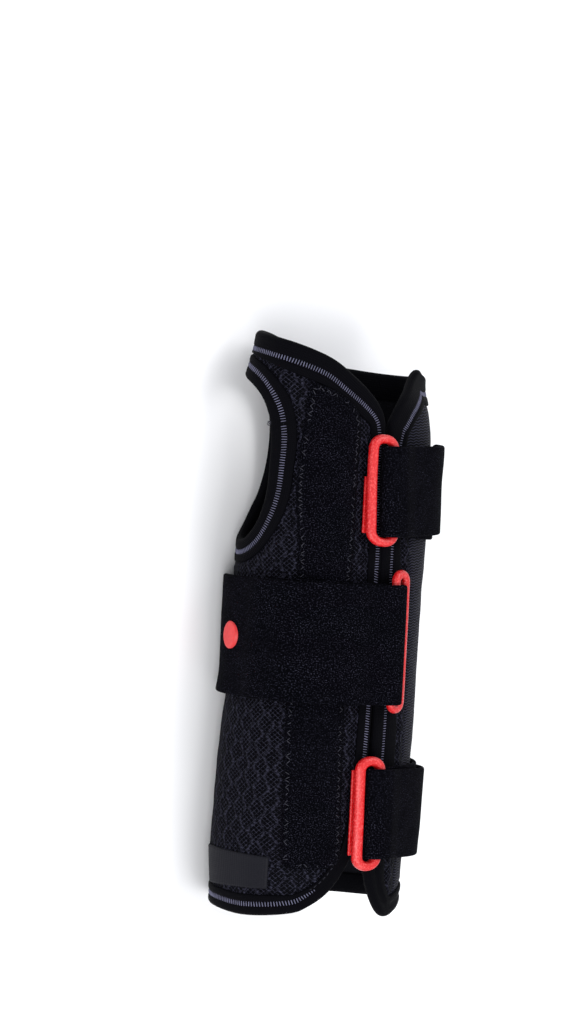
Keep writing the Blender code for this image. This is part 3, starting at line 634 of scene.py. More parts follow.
def ribbed_elastic(look):
    """Woven ribbed elastic: fine wavy ribs across the stretch."""
    material, tree, place = start_finish(
        "Woven ribbed elastic", look.mesh_dark, Roughness=0.65, Sheen_Weight=0.01,
        Sheen_Roughness=0.4, Specular_IOR_Level=0.05,
    )
    sides = add(tree, "SeparateXYZ", (place,))
    zig = add(tree, "Math", (sides.outputs[0], 1.6), operation="PINGPONG")
    zig = add(tree, "Math", (zig, 0.28), operation="MULTIPLY")
    lean = add(tree, "Math", (sides.outputs[0], 0.10), operation="MULTIPLY")
    rib = add(tree, "Math", (sides.outputs[1], zig), operation="ADD")
    rib = add(tree, "Math", (rib, lean), operation="ADD")
    # ribs 0.95 mm apart
    rib = waves(tree, rib, 0.95)
    rib = add(tree, "MapRange", (rib, -0.6, 1.0, 0.0, 1.0), interpolation_type="SMOOTHSTEP")
    fuzz = add(tree, "TexNoise", {"Vector": place, "Scale": 2.6, "Detail": 2.0})
    lit = add(tree, "MapRange", (fuzz, 0.3, 0.7, 0.4, 1.0))
    share = add(tree, "Math", (rib, lit), operation="MULTIPLY")
    return end_finish(material, share, linear("#030305"), look.elastic, rib, 0.35 * MM)


def binding_tape(look):
    """Knitted polyester binding tape: smooth, with fine lengthwise wales and a faint sheen."""
    material, tree, place = start_finish(
        "Knitted binding tape", look.tape, Roughness=0.7, Sheen_Weight=0.004,
        Sheen_Roughness=0.4, Specular_IOR_Level=0.03,
    )
    # wales 0.6 mm apart, coarser than the real 0.3 mm so that they show
    knit = weave(tree, place, 0.55, 0.6)
    fuzz = add(tree, "TexNoise", {"Vector": place, "Scale": 1.5, "Detail": 3.0})
    share = add(tree, "Math", (knit, fuzz), operation="MULTIPLY")
    return end_finish(material, share, linear("#020204"), look.tape, knit, 0.12 * MM)


def loop_velour(look):
    """Brushed loop velour: near black, with stray lighter fibres that catch the light."""
    material, tree, place = start_finish(
        "Brushed loop velour", look.velour, Roughness=0.9, Sheen_Weight=0.002,
        Sheen_Roughness=0.5, Specular_IOR_Level=0.015,
    )
    # fibres 0.5 mm long, coarser than the real 0.2 mm so that they show
    fibre = add(tree, "TexNoise", {"Vector": place, "Scale": 2.6, "Detail": 2.0})
    nap = add(tree, "TexNoise", {"Vector": place, "Scale": 0.75, "Detail": 4.0, "Roughness": 0.6})
    patch = add(tree, "TexNoise", {"Vector": place, "Scale": 0.13, "Detail": 2.0})
    share = add(tree, "MapRange", (fibre, 0.56, 0.76, 0.0, 1.0))
    patch = add(tree, "MapRange", (patch, 0.32, 0.68, 0.5, 1.0))
    share = add(tree, "Math", (share, patch), operation="MULTIPLY")
    ground = add(tree, "Mix", {0: nap, 6: linear("#010102"), 7: look.velour}, data_type="RGBA")
    height = add(tree, "Math", (nap, fibre), operation="ADD")
    return end_finish(material, share, ground.outputs[2], look.fibre, height, 0.10 * MM)


def sewing_thread(look):
    """Textured polyester thread: grey-violet, slightly shiny."""
    material, tree, spot = start_finish(
        "Textured polyester thread", look.thread, solid=True, Roughness=0.5, Sheen_Weight=0.03,
        Sheen_Roughness=0.3, Specular_IOR_Level=0.25,
    )
    uneven = add(tree, "TexNoise", {"Vector": spot, "Scale": 260.0, "Detail": 2.0})
    share = add(tree, "MapRange", (uneven, 0.3, 0.7, 0.35, 1.0))
    return end_finish(material, share, linear("#3c3c4c"), look.thread, uneven, 0.08 * MM)


def dark_thread(look):
    """Polyester thread in the colour of the cloth, only just lighter."""
    material, tree, spot = start_finish(
        "Dark polyester thread", linear("#34343f"), solid=True, Roughness=0.5, Sheen_Weight=0.02,
        Specular_IOR_Level=0.15,
    )
    uneven = add(tree, "TexNoise", {"Vector": spot, "Scale": 300.0, "Detail": 2.0})
    return end_finish(material, uneven, linear("#060609"), linear("#3c3c47"), uneven, 0.06 * MM)


def woven_satin(look):
    """Woven satin label: smooth and slightly shiny, with fine threads across."""
    material, tree, place = start_finish(
        "Woven satin label", look.label, Roughness=0.5, Sheen_Weight=0.004, Specular_IOR_Level=0.08,
    )
    # threads 0.7 mm apart, coarser than the real 0.2 mm so that they show
    threads = weave(tree, place, 0.9, 0.7)
    fuzz = add(tree, "TexNoise", {"Vector": place, "Scale": 0.9, "Detail": 3.0})
    share = add(tree, "Math", (threads, fuzz), operation="MULTIPLY")
    return end_finish(material, share, linear("#131319"), look.label, threads, 0.08 * MM)


def moulded_nylon(look):
    """Injection-moulded nylon with a fine eroded grain; its pale sparkle on the crests is painted
    highlight.
    """
    material, tree, spot = start_finish(
        "Moulded red nylon", look.red, solid=True, Roughness=0.36, IOR=1.53,
    )
    grain = add(tree, "TexNoise", {"Vector": spot, "Scale": 1500.0, "Detail": 2.0, "Roughness": 0.6})
    flow = add(tree, "TexNoise", {"Vector": spot, "Scale": 130.0, "Detail": 2.0})
    base = add(tree, "Mix", {0: flow, 6: linear("#b4050b"), 7: look.red}, data_type="RGBA")
    # painted highlight: pale glints painted on the crests of the grain noise, which also gives the real
    # relief
    pale = add(tree, "MapRange", (grain, 0.50, 0.68, 0.0, 0.5))
    rough = add(tree, "MapRange", (flow, 0.3, 0.7, 0.30, 0.48))
    tree.links.new(rough.outputs[0], tree.nodes["Principled BSDF"].inputs["Roughness"])
    return end_finish(material, pale, base.outputs[2], look.red_painted_glint, grain, 0.16 * MM)


def moulded_rubber(look):
    """Soft moulded rubber: matt red, evenly grained."""
    material, tree, spot = start_finish(
        "Moulded red rubber", look.dot, solid=True, Roughness=0.5, IOR=1.52,
    )
    grain = add(tree, "TexNoise", {"Vector": spot, "Scale": 900.0, "Detail": 2.0})
    return end_finish(material, grain, linear("#b81e20"), look.dot, grain, 0.05 * MM)


def pale_floor(look):
    """Matt painted board: plain and pale."""
    material, tree, spot = start_finish("Matt pale board", look.floor, solid=True, Roughness=0.85)
    tone = add(tree, "TexNoise", {"Vector": spot, "Scale": 3.0, "Detail": 1.0})
    return end_finish(material, tone, look.floor, linear("#f7f7f8"))


MADE = {}


def material_for(make):
    """Each finish is made once and shared by the pieces that have it."""
    if make.__name__ not in MADE:
        MADE[make.__name__] = make(bpy.context.scene.brace_colours)
    return MADE[make.__name__]


# Add-on

class BraceSizes(bpy.types.PropertyGroup):
    """Sizes of the sewn detail"""

    ladder_pitch: bpy.props.FloatProperty(
        name="Ladder pitch", description="Distance between two ladder stitches on the tape",
        default=0.87 * MM, min=0.4 * MM, subtype="DISTANCE", unit="LENGTH",
    )
    ladder_width: bpy.props.FloatProperty(
        name="Ladder width", description="Length of each ladder stitch across the seam",
        default=1.9 * MM, min=0.5 * MM, subtype="DISTANCE", unit="LENGTH",
    )
    thread: bpy.props.FloatProperty(
        name="Thread", description="Thickness of the sewing thread",
        default=0.34 * MM, min=0.1 * MM, subtype="DISTANCE", unit="LENGTH",
    )
    cloth_ripple: bpy.props.FloatProperty(
        name="Cloth ripple", description="How far worn cloth rises and falls",
        default=0.16 * MM, min=0.0, subtype="DISTANCE", unit="LENGTH",
    )
    dot_diameter: bpy.props.FloatProperty(
        name="Dot diameter", description="Diameter of the rubber dot on the wide strap",
        default=9.3 * MM, min=2 * MM, subtype="DISTANCE", unit="LENGTH",
    )


class BraceColours(bpy.types.PropertyGroup):
    """Colours of the brace and its stage"""

    mesh_dark: bpy.props.FloatVectorProperty(
        name="Mesh ground", description="Colour of the fields of the spacer mesh",
        default=linear("#030306"), subtype="COLOR", min=0, max=1,
    )
    mesh_light: bpy.props.FloatVectorProperty(
        name="Mesh bands", description="Colour of the knit bands of the spacer mesh",
        default=linear("#343442"), subtype="COLOR", min=0, max=1,
    )
    elastic: bpy.props.FloatVectorProperty(
        name="Elastic ribs", description="Colour of the ribs of the elastic",
        default=linear("#303040"), subtype="COLOR", min=0, max=1,
    )
    tape: bpy.props.FloatVectorProperty(
        name="Tape", description="Colour of the binding tape",
        default=linear("#08080e"), subtype="COLOR", min=0, max=1,
    )
    velour: bpy.props.FloatVectorProperty(
        name="Velour", description="Colour of the straps and the pocket",
        default=linear("#040408"), subtype="COLOR", min=0, max=1,
    )
    fibre: bpy.props.FloatVectorProperty(
        name="Stray fibres", description="Colour of the lighter fibres in the velour",
        default=linear("#383846"), subtype="COLOR", min=0, max=1,
    )
    thread: bpy.props.FloatVectorProperty(
        name="Thread", description="Colour of the ladder stitching",
        default=linear("#5f5f76"), subtype="COLOR", min=0, max=1,
    )
    label: bpy.props.FloatVectorProperty(
        name="Label", description="Colour of the bare label",
        default=linear("#0e0e15"), subtype="COLOR", min=0, max=1,
    )
    red: bpy.props.FloatVectorProperty(
        name="Ring red", description="Colour of the moulded rings",
        default=linear("#c8080e"), subtype="COLOR", min=0, max=1,
    )
    # Painted highlight: pale flecks on the rings that stand in for glints on their grain
    red_painted_glint: bpy.props.FloatVectorProperty(
        name="Ring painted glints", description="Colour of the pale glints painted on the rings",
        default=linear("#f25c5c"), subtype="COLOR", min=0, max=1,
    )
    dot: bpy.props.FloatVectorProperty(
        name="Dot red", description="Colour of the rubber dot",
        default=linear("#dc3032"), subtype="COLOR", min=0, max=1,
    )
    floor: bpy.props.FloatVectorProperty(
        name="Floor", description="Colour of the plain floor",
        default=linear("#f2f2f4"), subtype="COLOR", min=0, max=1,
    )


def panel_edges():
    """Closed edges of the opened-out shell, strip and elastic, cut along the seams."""
    loops = {}
    rim = OUTER + loop_normals(OUTER) * CLOTH_RIM
    sides = {
        "padded_shell": (None, (PALM_SEAM, -0.5)),
        "elastic_panel": ((PALM_SEAM, 0.5), (FLAP_SEAM, -0.5)),
        "opening_strip": ((FLAP_SEAM, 0.5), None),
    }
    for name, (low, high) in sides.items():
        loop = rim
        for limit, sign in ((low, 1), (high, -1)):
            if limit is None:
                continue
            seam, share = limit
            loop = cut_loop(loop, seam, share * SEAM_GAP, sign)
        loops[name] = loop
    return loops


def cut_loop(loop, seam, gap, sign):
    """The part of a loop on one side of a seam, closed along the seam."""
    side = (loop[:, 0] - seam_at(seam, loop[:, 1]) - gap) * sign
    kept = []
    count = len(loop)
    for i in range(count):
        j = (i + 1) % count
        if side[i] >= 0:
            kept.append(loop[i])
        if side[i] * side[j] < 0:
            t = side[i] / (side[i] - side[j])
            kept.append(loop[i] + (loop[j] - loop[i]) * t)
    kept = np.array(kept)
    line = []
    for i in range(len(kept)):
        a, b = kept[i], kept[(i + 1) % len(kept)]
        parts = max(1, int(np.hypot(*(b - a)) / NET_STEP))
        line += [a + (b - a) * k / parts for k in range(parts)]
    return np.array(line)


def cloth_heights(net, full, low_full, ripple):
    """Outer and inner height of the wall cloth: thin under the tapes and full between them."""
    far, station = near_loop(net, OUTER)
    hole_far, hole_station = near_loop(net, HOLE)
    past = np.minimum(far - OUTER_WIDTH[station], hole_far - HOLE_WIDTH[hole_station])
    fullness = np.clip((past + 0.2 * MM) / (1.6 * MM), 0, 1)
    fullness = fullness**2 * (3 - 2 * fullness)
    high = TAPE_SEAT + (full - TAPE_SEAT) * fullness
    high = high + ripple * unevenness(net[:, 0], net[:, 1]) * fullness
    inner = np.minimum(far, hole_far) - LINING_START
    inner = np.clip(inner / (1.6 * MM), 0, 1)
    low = 0.55 * MM + (low_full - 0.55 * MM) * inner
    return low, high


class BRACE_OT_wall(bpy.types.Operator):
    """Padded mesh wall and the strip beside the opening"""

    bl_idname = "brace.wall"
    bl_label = "Mesh wall"

    def execute(self, context):
        ripple = context.scene.brace_sizes.cloth_ripple
        cloth = [material_for(spacer_mesh), material_for(brushed_lining)]
        edges = panel_edges()
        hole_rim = HOLE - loop_normals(HOLE) * CLOTH_RIM
        for name, loops in (
            ("padded_shell", [edges["padded_shell"], hole_rim]),
            ("opening_strip", [edges["opening_strip"]]),
        ):
            def keep(points, loops=loops):
                kept = inside(points, loops[0])
                return kept & ~inside(points, loops[1]) if len(loops) > 1 else kept
            net, faces = net_between(loops, keep, NET_STEP)
            low, high = cloth_heights(net, 3.0 * MM, 0.05 * MM, ripple)
            piece = sheet_piece("mesh_" + name.split("_")[1], net, faces, low, high, cloth)
            belongs(piece, "spacer_mesh", name)
        return {"FINISHED"}


class BRACE_OT_elastic(bpy.types.Operator):
    """Ribbed elastic panel on the little finger side"""

    bl_idname = "brace.elastic"
    bl_label = "Elastic panel"

    def execute(self, context):
        ripple = context.scene.brace_sizes.cloth_ripple
        loop = panel_edges()["elastic_panel"]
        net, faces = net_between([loop], lambda points: inside(points, loop), NET_STEP)
        low, high = cloth_heights(net, 2.7 * MM, 0.9 * MM, ripple)
        piece = sheet_piece("ribbed_elastic", net, faces, low, high, [material_for(ribbed_elastic)])
        belongs(piece, "ribbed_elastic", "elastic_panel")
        return {"FINISHED"}


def tape_height(depth, ladder_at, width):
    """Outer height of folded tape: round at the fold, pressed in along the ladder, thin at its end."""
    fold = np.sqrt(np.maximum(1 - (1 - np.minimum(depth / (1.6 * MM), 1)) ** 2, 0))
    height = 1.5 * MM + 1.62 * MM * fold
    press = np.exp(-((depth - ladder_at) / (1.05 * MM)) ** 4)
    puff = np.sin(np.clip((depth - ladder_at) / (width - ladder_at), 0, 1) * math.pi)
    height = height + 0.10 * MM * puff - 0.34 * MM * press * fold
    return height - 0.25 * MM * np.clip(1 - (width - depth) / (0.7 * MM), 0, 1) ** 2


def tape_rings(loop, sign, width, ladder_at, lap=0.0):
    """Cross-sections of tape folded over an edge; lap raises the layer that lies on its own start."""
    normals = loop_normals(loop) * sign
    inner = np.minimum(width, TAPE_INSIDE)[:, None]
    wide = width[:, None]
    at = ladder_at[:, None]
    near = np.array((0.0, 0.1, 0.4, 0.9, 1.5)) * MM + 0 * wide
    shares = np.concatenate([np.linspace(0, 1, 17)[1:], (1.0,)])
    far = near[:, -1:] + (wide - near[:, -1:]) * shares
    far[:, -2] = width - 0.25 * MM
    depth = np.concatenate([near, far], axis=1)
    height = tape_height(depth, at, wide) + np.reshape(lap, (-1, 1)) * (depth > 0.3 * MM)
    height[:, -1] = 2.62 * MM
    # back under the cloth's rim, and out again over the inside face
    rim = np.array((2.0, 1.0, 0.75, 1.0, 2.0)) * MM + 0 * wide
    face = np.array((1.5, 0.9, 0.42, 0.11)) * MM + 0 * wide
    depth_in = [wide, rim, inner, inner, inner - 0.5 * MM, inner / 2, face]
    height_in = (2.32, 2.3, 2.05, 1.5, 0.8, 0.45, 0.45, 0.1, -0.08, -0.16, -0.12, 0.02, 0.38, 0.9)
    depth = np.concatenate([depth, *depth_in], axis=1)
    height = np.concatenate([height, np.array(height_in) * MM + 0 * wide], axis=1)
    flat = loop[:, None, :] + normals[:, None, :] * depth[..., None]
    rings = lift(flat[..., 0], flat[..., 1], height)
    across = run_of(np.column_stack([depth.mean(axis=0), height.mean(axis=0)]), True)
    return rings, run_of(loop, True), across


def lap_of(loop):
    """Where the thumb hole tape ends on its own start: a step that fades away along the tape."""
    start = int(np.argmin(np.hypot(*(loop - np.array(LAP_PLACE) * (GIRTH, BODY_LENGTH)).T)))
    run = (np.arange(len(loop)) - start) % len(loop) * EDGE_STEP
    return LAP_RISE * np.clip(1 - run / LAP_FADE, 0, 1) * (run > 0), start


class BRACE_OT_tapes(bpy.types.Operator):
    """Binding tapes folded over the edges"""

    bl_idname = "brace.tapes"
    bl_label = "Binding tapes"

    def execute(self, context):
        cloth = [material_for(binding_tape)]
        for name, node, loop, sign, width, ladder_at in (
            ("edge_tape", "edge_binding", OUTER, 1, OUTER_WIDTH, OUTER_LADDER),
            ("thumb_hole_tape", "thumb_hole_binding", HOLE, -1, HOLE_WIDTH, HOLE_LADDER),
        ):
            lap = lap_of(loop)[0] if sign < 0 else 0.0 * width
            rings, run, across = tape_rings(loop, sign, width, ladder_at, lap)
            piece = swept_piece(name, rings, run, across, True, cloth)
            belongs(piece, "binding_tape", node)
        return {"FINISHED"}


def ladder_share(spots):
    """How long each ladder stitch shows: it rolls under the edge at the corners by the forearm."""
    around, along = spots[:, 0] / GIRTH, spots[:, 1] / BODY_LENGTH
    share = np.where(along < 0.2, np.interp(around, (0.092, 0.138), (0.0, 1.0)), 1.0)
    share = np.where((around > 0.85) & (along < 0.125), 0.0, share)
    return np.where((around > 0.95) & (along < 0.84), share * 0.68, share)


def kept_at_random(count, share):
    """Stitches that show; the rest are sunk in the pile."""
    marks = np.sin(np.arange(count) * 12.9898) * 43758.5453
    return (marks - np.floor(marks)) < share


class BRACE_OT_ladders(bpy.types.Operator):
    """Ladder stitching on the tapes and the fine seams along their inner edges"""

    bl_idname = "brace.ladders"
    bl_label = "Tape stitching"

    def execute(self, context):
        sizes = context.scene.brace_sizes
        for name, loop, sign, width, ladder_at in (
            ("edge_ladder", OUTER, 1, OUTER_WIDTH, OUTER_LADDER),
            ("thumb_hole_ladder", HOLE, -1, HOLE_WIDTH, HOLE_LADDER),
        ):
            spots, ways, marks = ladder(loop, sign * ladder_at, sizes.ladder_pitch)
            lean = -3 + 4 * np.sin(marks * 913) + 3 * np.sin(marks * 2171)
            lean = lean + 14 * ((spots[:, 0] < 0.1 * GIRTH) & (spots[:, 1] < 0.6 * BODY_LENGTH))
            share = ladder_share(spots) if sign > 0 else np.ones(len(spots))
            shown = share > 0.3
            lap, start = lap_of(loop)
            rise = LADDER_SEAT + lap[near_loop(spots, loop)[1]] * (sign < 0)
            piece = stitches(name, spots[shown], turned(ways, lean)[shown],
                             (sizes.ladder_width * share)[shown], sizes.thread, 0.3 * MM, rise[shown],
                             [material_for(sewing_thread)])
            belongs(piece, "binding_tape")
            spots, ways, marks = ladder(loop, sign * (width - 0.8 * MM), 1.9 * MM)
            kept = kept_at_random(len(spots), 0.7)
            lean = 90 + 14 * np.sin(marks * 1371)
            piece = stitches(name.replace("ladder", "seam"), spots[kept], turned(ways, lean)[kept],
                             1.25 * MM, 0.26 * MM, 0.14 * MM, 3.0 * MM, [material_for(dark_thread)])
            belongs(piece, "binding_tape")
            if sign < 0:
                fray = np.arange(9)
                inwards = np.tile(loop_normals(loop)[start], (9, 1))
                spots = loop[start] + inwards * (0.35 * MM * np.sin(fray * 2.3) - 0.1 * MM)[:, None]
                spots = spots + turned(inwards, 90) * (0.16 * MM * (fray - 4))[:, None]
                piece = stitches("frayed_end", spots, turned(inwards, 34 * np.sin(fray * 1.9)), 1.6 * MM,
                                 0.18 * MM, 0.1 * MM, 2.75 * MM, [material_for(dark_thread)])
                belongs(piece, "binding_tape")
        return {"FINISHED"}


class BRACE_OT_pocket(bpy.types.Operator):
    """Padded velour pocket over the metal stay, with its zigzag stitching"""

    bl_idname = "brace.pocket"
    bl_label = "Stay pocket"

    def execute(self, context):
        net, faces = net_between([POCKET], lambda points: inside(points, POCKET), 1.6 * MM)
        far = near_loop(net, POCKET)[0]
        crown = 0.55 * MM + 0.5 * MM * np.clip(far / (0.8 * MM), 0, 1)
        crown = crown - 0.16 * MM * np.exp(-((far - 1.6 * MM) / (0.7 * MM)) ** 2)
        crown = crown + 0.75 * MM * np.clip((far - 1.9 * MM) / (3.2 * MM), 0, 1) ** 0.7
        ripple = context.scene.brace_sizes.cloth_ripple
        crown = crown + ripple * unevenness(net[:, 0], net[:, 1], 0.8) * np.clip(far / (4 * MM), 0, 1)
        low = np.full(len(net), 3.2 * MM)
        piece = sheet_piece("velour_pocket", net, faces, low, low + crown, [material_for(loop_velour)])
        belongs(piece, "loop_velour", "stay_pocket")
        spots, ways, marks = ladder(POCKET, np.full(len(POCKET), 1.5 * MM), 1.3 * MM)
        count = len(marks)
        lean = np.where(np.arange(count) % 2 == 0, 40.0, -40.0) + 9 * np.sin(marks * 1733)
        length = (1.75 + 0.3 * np.sin(marks * 2477)) * MM
        kept = kept_at_random(count, 0.74)
        piece = stitches("pocket_zigzag", spots[kept], turned(ways, lean)[kept], length[kept],
                         0.24 * MM, 0.12 * MM, 4.12 * MM, [material_for(dark_thread)])
        belongs(piece, "loop_velour")
        return {"FINISHED"}


def rest_height(x):
    """Height of whatever the wide strap lies on at places around the body."""
    return np.interp(x, np.array((0.058, 0.074, 0.184, 0.205)) * GIRTH,
                     (WALL, POCKET_TOP, POCKET_TOP, WALL))


def strap_line(name):
    """Middle line of a strap, from its anchor round the ring to its free end."""
    ring_name, width, anchor, end, slope, low_slope, side, standoff, shift = STRAPS[name]
    around, along, ring_width, length, slot, turn = RINGS[ring_name]
    radius = RING_BAR / 2 + LAYER_GAP + STRAP_THICKNESS / 2
    high = WALL + LAYER_GAP + STRAP_THICKNESS / 2 + radius
    reach = (ring_width - RING_BAR) / 2
    bar_x = around * GIRTH + side * reach

    def under(x):
        base = rest_height(x) if side > 0 else WALL
        near = np.interp(np.abs(x - bar_x), (0, 6 * MM), (1, 0))
        return np.maximum(base + LAYER_GAP + STRAP_THICKNESS / 2, near * (high - radius))

    def over(x):
        away = np.abs(x - bar_x)
        drop = np.interp(away, (0, 3 * MM, 9 * MM, 16 * MM), (0, 0.07, 0.72, 1))
        doubled = np.interp((x - anchor * GIRTH) * side, (1 * MM, 8 * MM), (1, 0))
        resting = under(x) + (STRAP_THICKNESS + LAYER_GAP) * doubled
        resting = resting + standoff * np.interp(away, (8 * MM, 26 * MM), (0, 1))
        return (high + radius) * (1 - drop) + resting * drop

    first = np.linspace(anchor * GIRTH, bar_x, 70)[:-1]
    angle = np.linspace(-math.pi / 2, math.pi / 2, 19)
    slack = 1.0 if side > 0 else FOLD_SLACK
    fold = np.column_stack([bar_x - side * radius * slack * np.cos(angle),
                            high + radius * np.sin(angle)])
    back = end * GIRTH + (bar_x - end * GIRTH) * np.concatenate(
        [np.linspace(1, 0.03, 60), (0.02, 0.012, 0.006, 0.002, 0.0)])[1:]
    line = np.vstack([np.column_stack([first, under(first)]), fold, np.column_stack([back, over(back)])])
    smooth = line.copy()
    for _ in range(6):
        soft = smooth.copy()
        soft[1:-1, 1] = (smooth[:-2, 1] + 2 * smooth[1:-1, 1] + smooth[2:, 1]) / 4
        keep = np.abs(line[:, 0] - bar_x) < 2.4 * MM * slack
        soft[keep] = line[keep]
        smooth = soft
    bar_y = along * BODY_LENGTH + shift + (bar_x - around * GIRTH) * math.sin(math.radians(turn))
    return smooth, bar_x, bar_y, min(width, slot - 0.6 * MM)


def strap_rings(name, ripple):
    """Cross-sections of a strap with soft edges and round corners at its free end."""
    ring_name, width, anchor, end, slope, low_slope, side, standoff, shift = STRAPS[name]
    turn = math.radians(RINGS[ring_name][5])
    line, bar_x, bar_y, pinched = strap_line(name)
    along = np.gradient(line, axis=0)
    along = along / np.linalg.norm(along, axis=1)[:, None]
    normal = np.column_stack([-along[:, 1], along[:, 0]])
    run = run_of(line, False)
    left = run[-1] - run
    corner = 2.4 * MM if side > 0 else 1.6 * MM
    trim = np.where(left < corner, corner - np.sqrt(np.maximum(corner**2 - (corner - left) ** 2, 0)), 0)
    away = np.maximum(0, (line[:, 0] - bar_x) * side)
    follow = np.interp(away, (6 * MM, 30 * MM), (1, 0))
    half_width = np.interp(away, (1 * MM, 9 * MM), (pinched, width)) / 2 - trim
    steps = np.array((0.0, 0.1, 0.3, 0.6, 1.0)) * MM
    inner = np.linspace(1.0 * MM, width - 1.0 * MM, 15)[1:-1]
    cross = np.concatenate([steps, inner, width - steps[::-1]]) / width * 2 - 1
    depth = np.minimum(np.minimum(1 + cross, 1 - cross) * width / 2 / (0.8 * MM), 1)
    edge = np.maximum(np.sqrt(1 - (1 - depth) ** 2), 0.15)
    tip = np.maximum(np.sqrt(1 - (1 - np.minimum(left / (0.8 * MM), 1)) ** 2), 0.2)
    tab = np.interp(left, (30 * MM, 42 * MM), (HOOK_TAB, 1.0)) if side > 0 else 1.0 + 0 * left
    half = STRAP_THICKNESS / 2 * (tab * tip)[:, None] * edge[None, :]
    top = np.arange(len(line)) > 79
    rise = away * np.where(top, slope, low_slope)
    y = bar_y + rise[:, None] + half_width[:, None] * cross[None, :]
    sag = ripple * unevenness(line[:, 0][:, None] * 0.7, y * 0.9, 1.3)
    sag = sag * np.clip(away / (8 * MM), 0, 1)[:, None] + (tab - 1)[:, None] * STRAP_THICKNESS / 2
    if side > 0:
        # the lower corner of the hook tab curls off the cloth
        curl = np.clip(1 - left / (9 * MM), 0, 1)[:, None]
        curl = curl * np.clip((-cross - 0.66) / 0.34, 0, 1)[None, :]
        sag = sag + 0.35 * MM * curl**1.5
    faces = []
    for sign in (1, -1):
        x = line[:, 0][:, None] + normal[:, 0][:, None] * half * sign
        height = line[:, 1][:, None] + normal[:, 1][:, None] * half * sign + sag
        x = x - (y - bar_y) * math.tan(turn) * follow[:, None]
        faces.append(lift(x, y, height))
    rings = np.concatenate([faces[0], faces[1][:, ::-1]], axis=1)
    places = (cross + 1) * width / 2
    across = np.concatenate([places, width + places, [2 * width]])
    return rings, run, across, width


class BRACE_OT_straps(bpy.types.Operator):
    """Velour straps through the rings"""

    bl_idname = "brace.straps"
    bl_label = "Straps"

    def execute(self, context):
        ripple = context.scene.brace_sizes.cloth_ripple
        for name in STRAPS:
            rings, run, across, width = strap_rings(name, ripple)
            piece = swept_piece("velour_" + name, rings, run, across, False, [material_for(loop_velour)])
            belongs(piece, "loop_velour", name)
        return {"FINISHED"}


def cut_rows(length, step):
    """Cuts the active flat piece across its length, so that it can follow the body."""
    bpy.ops.object.mode_set(mode="EDIT")
    for k in range(1, int(length / step)):
        y = -length / 2 + k * length / int(length / step)
        bpy.ops.mesh.select_all(action="SELECT")
        bpy.ops.mesh.bisect(plane_co=(0, y, 0), plane_no=(0, 1, 0))
    bpy.ops.object.mode_set(mode="OBJECT")


def bend_onto_body(piece, x0, y0, turn, base, tilt):
    """Carries a piece modelled flat about the origin onto the body."""
    flat = np.empty(len(piece.data.vertices) * 3)
    piece.data.vertices.foreach_get("co", flat)
    flat = flat.reshape(-1, 3)
    x = x0 + flat[:, 0] * math.cos(turn) - flat[:, 1] * math.sin(turn)
    y = y0 + flat[:, 0] * math.sin(turn) + flat[:, 1] * math.cos(turn)
    points = lift(x, y, base + flat[:, 2] + tilt * flat[:, 0])
    piece.data.vertices.foreach_set("co", points.ravel())
    piece.data.update()
    # around runs towards the thumb, which turns the piece inside out
    edit("SELECT")
    bpy.ops.mesh.normals_make_consistent(inside=False)
    bpy.ops.object.mode_set(mode="OBJECT")
    bpy.ops.object.shade_smooth_by_angle(angle=math.radians(50))


def flat_ring(name, width, length, slot):
    """A moulded ring lying flat: round corners, flat-topped bars with rounded edges."""
    deselect()
    bpy.ops.mesh.primitive_plane_add(size=1)
    piece = bpy.context.active_object
    piece.name = piece.data.name = name
    piece.scale = (width, length, 1)
    bpy.ops.object.transform_apply(location=True, rotation=True, scale=True)
    edit("SELECT")
    corner = min(RING_CORNER, width / 2 - 0.15 * MM)
    bpy.ops.mesh.bevel(offset=corner, segments=9, affect="VERTICES")
    bpy.ops.mesh.select_all(action="SELECT")
    bpy.ops.mesh.select_mode(type="FACE")
    bpy.ops.mesh.inset(thickness=RING_BAR - 0.2 * MM, depth=0)
    bpy.ops.transform.resize(value=(1, slot / (length - 2 * RING_BAR + 0.4 * MM), 1))
    bpy.ops.mesh.delete(type="FACE")
    bpy.ops.object.mode_set(mode="OBJECT")
    # only the straight part is cut, so that the rounding of the corners meets no cross cut
    cut_rows(length - 2 * corner, 2.2 * MM)
    edit("SELECT")
    bpy.ops.mesh.extrude_region_move(TRANSFORM_OT_translate={"value": (0, 0, RING_HEIGHT)})
    bpy.ops.mesh.select_all(action="SELECT")
    bpy.ops.mesh.normals_make_consistent(inside=False)
    bpy.ops.mesh.select_all(action="DESELECT")
    bpy.ops.mesh.select_mode(type="EDGE")
    bpy.ops.mesh.edges_select_sharp(sharpness=math.radians(60))
    bpy.ops.mesh.bevel(offset=1.38 * MM, segments=6, affect="EDGES")
    bpy.ops.mesh.select_all(action="SELECT")
    bpy.ops.mesh.remove_doubles(threshold=0.00001)
    bpy.ops.transform.translate(value=(0, 0, -RING_HEIGHT / 2))
    bpy.ops.object.mode_set(mode="OBJECT")
    return piece


def flat_foot(name, length):
    """The thin sewn foot of a ring, lying flat."""
    deselect()
    bpy.ops.mesh.primitive_cube_add(size=1)
    piece = bpy.context.active_object
    piece.name = piece.data.name = name
    piece.scale = (2.6 * MM, length, 0.8 * MM)
    bpy.ops.object.transform_apply(location=True, rotation=True, scale=True)
    cut_rows(length, 2.2 * MM)
    edit("DESELECT")
    bpy.ops.mesh.select_mode(type="EDGE")
    bpy.ops.mesh.edges_select_sharp(sharpness=math.radians(60))
    bpy.ops.mesh.bevel(offset=0.22 * MM, segments=3, affect="EDGES")
    bpy.ops.object.mode_set(mode="OBJECT")
    return piece


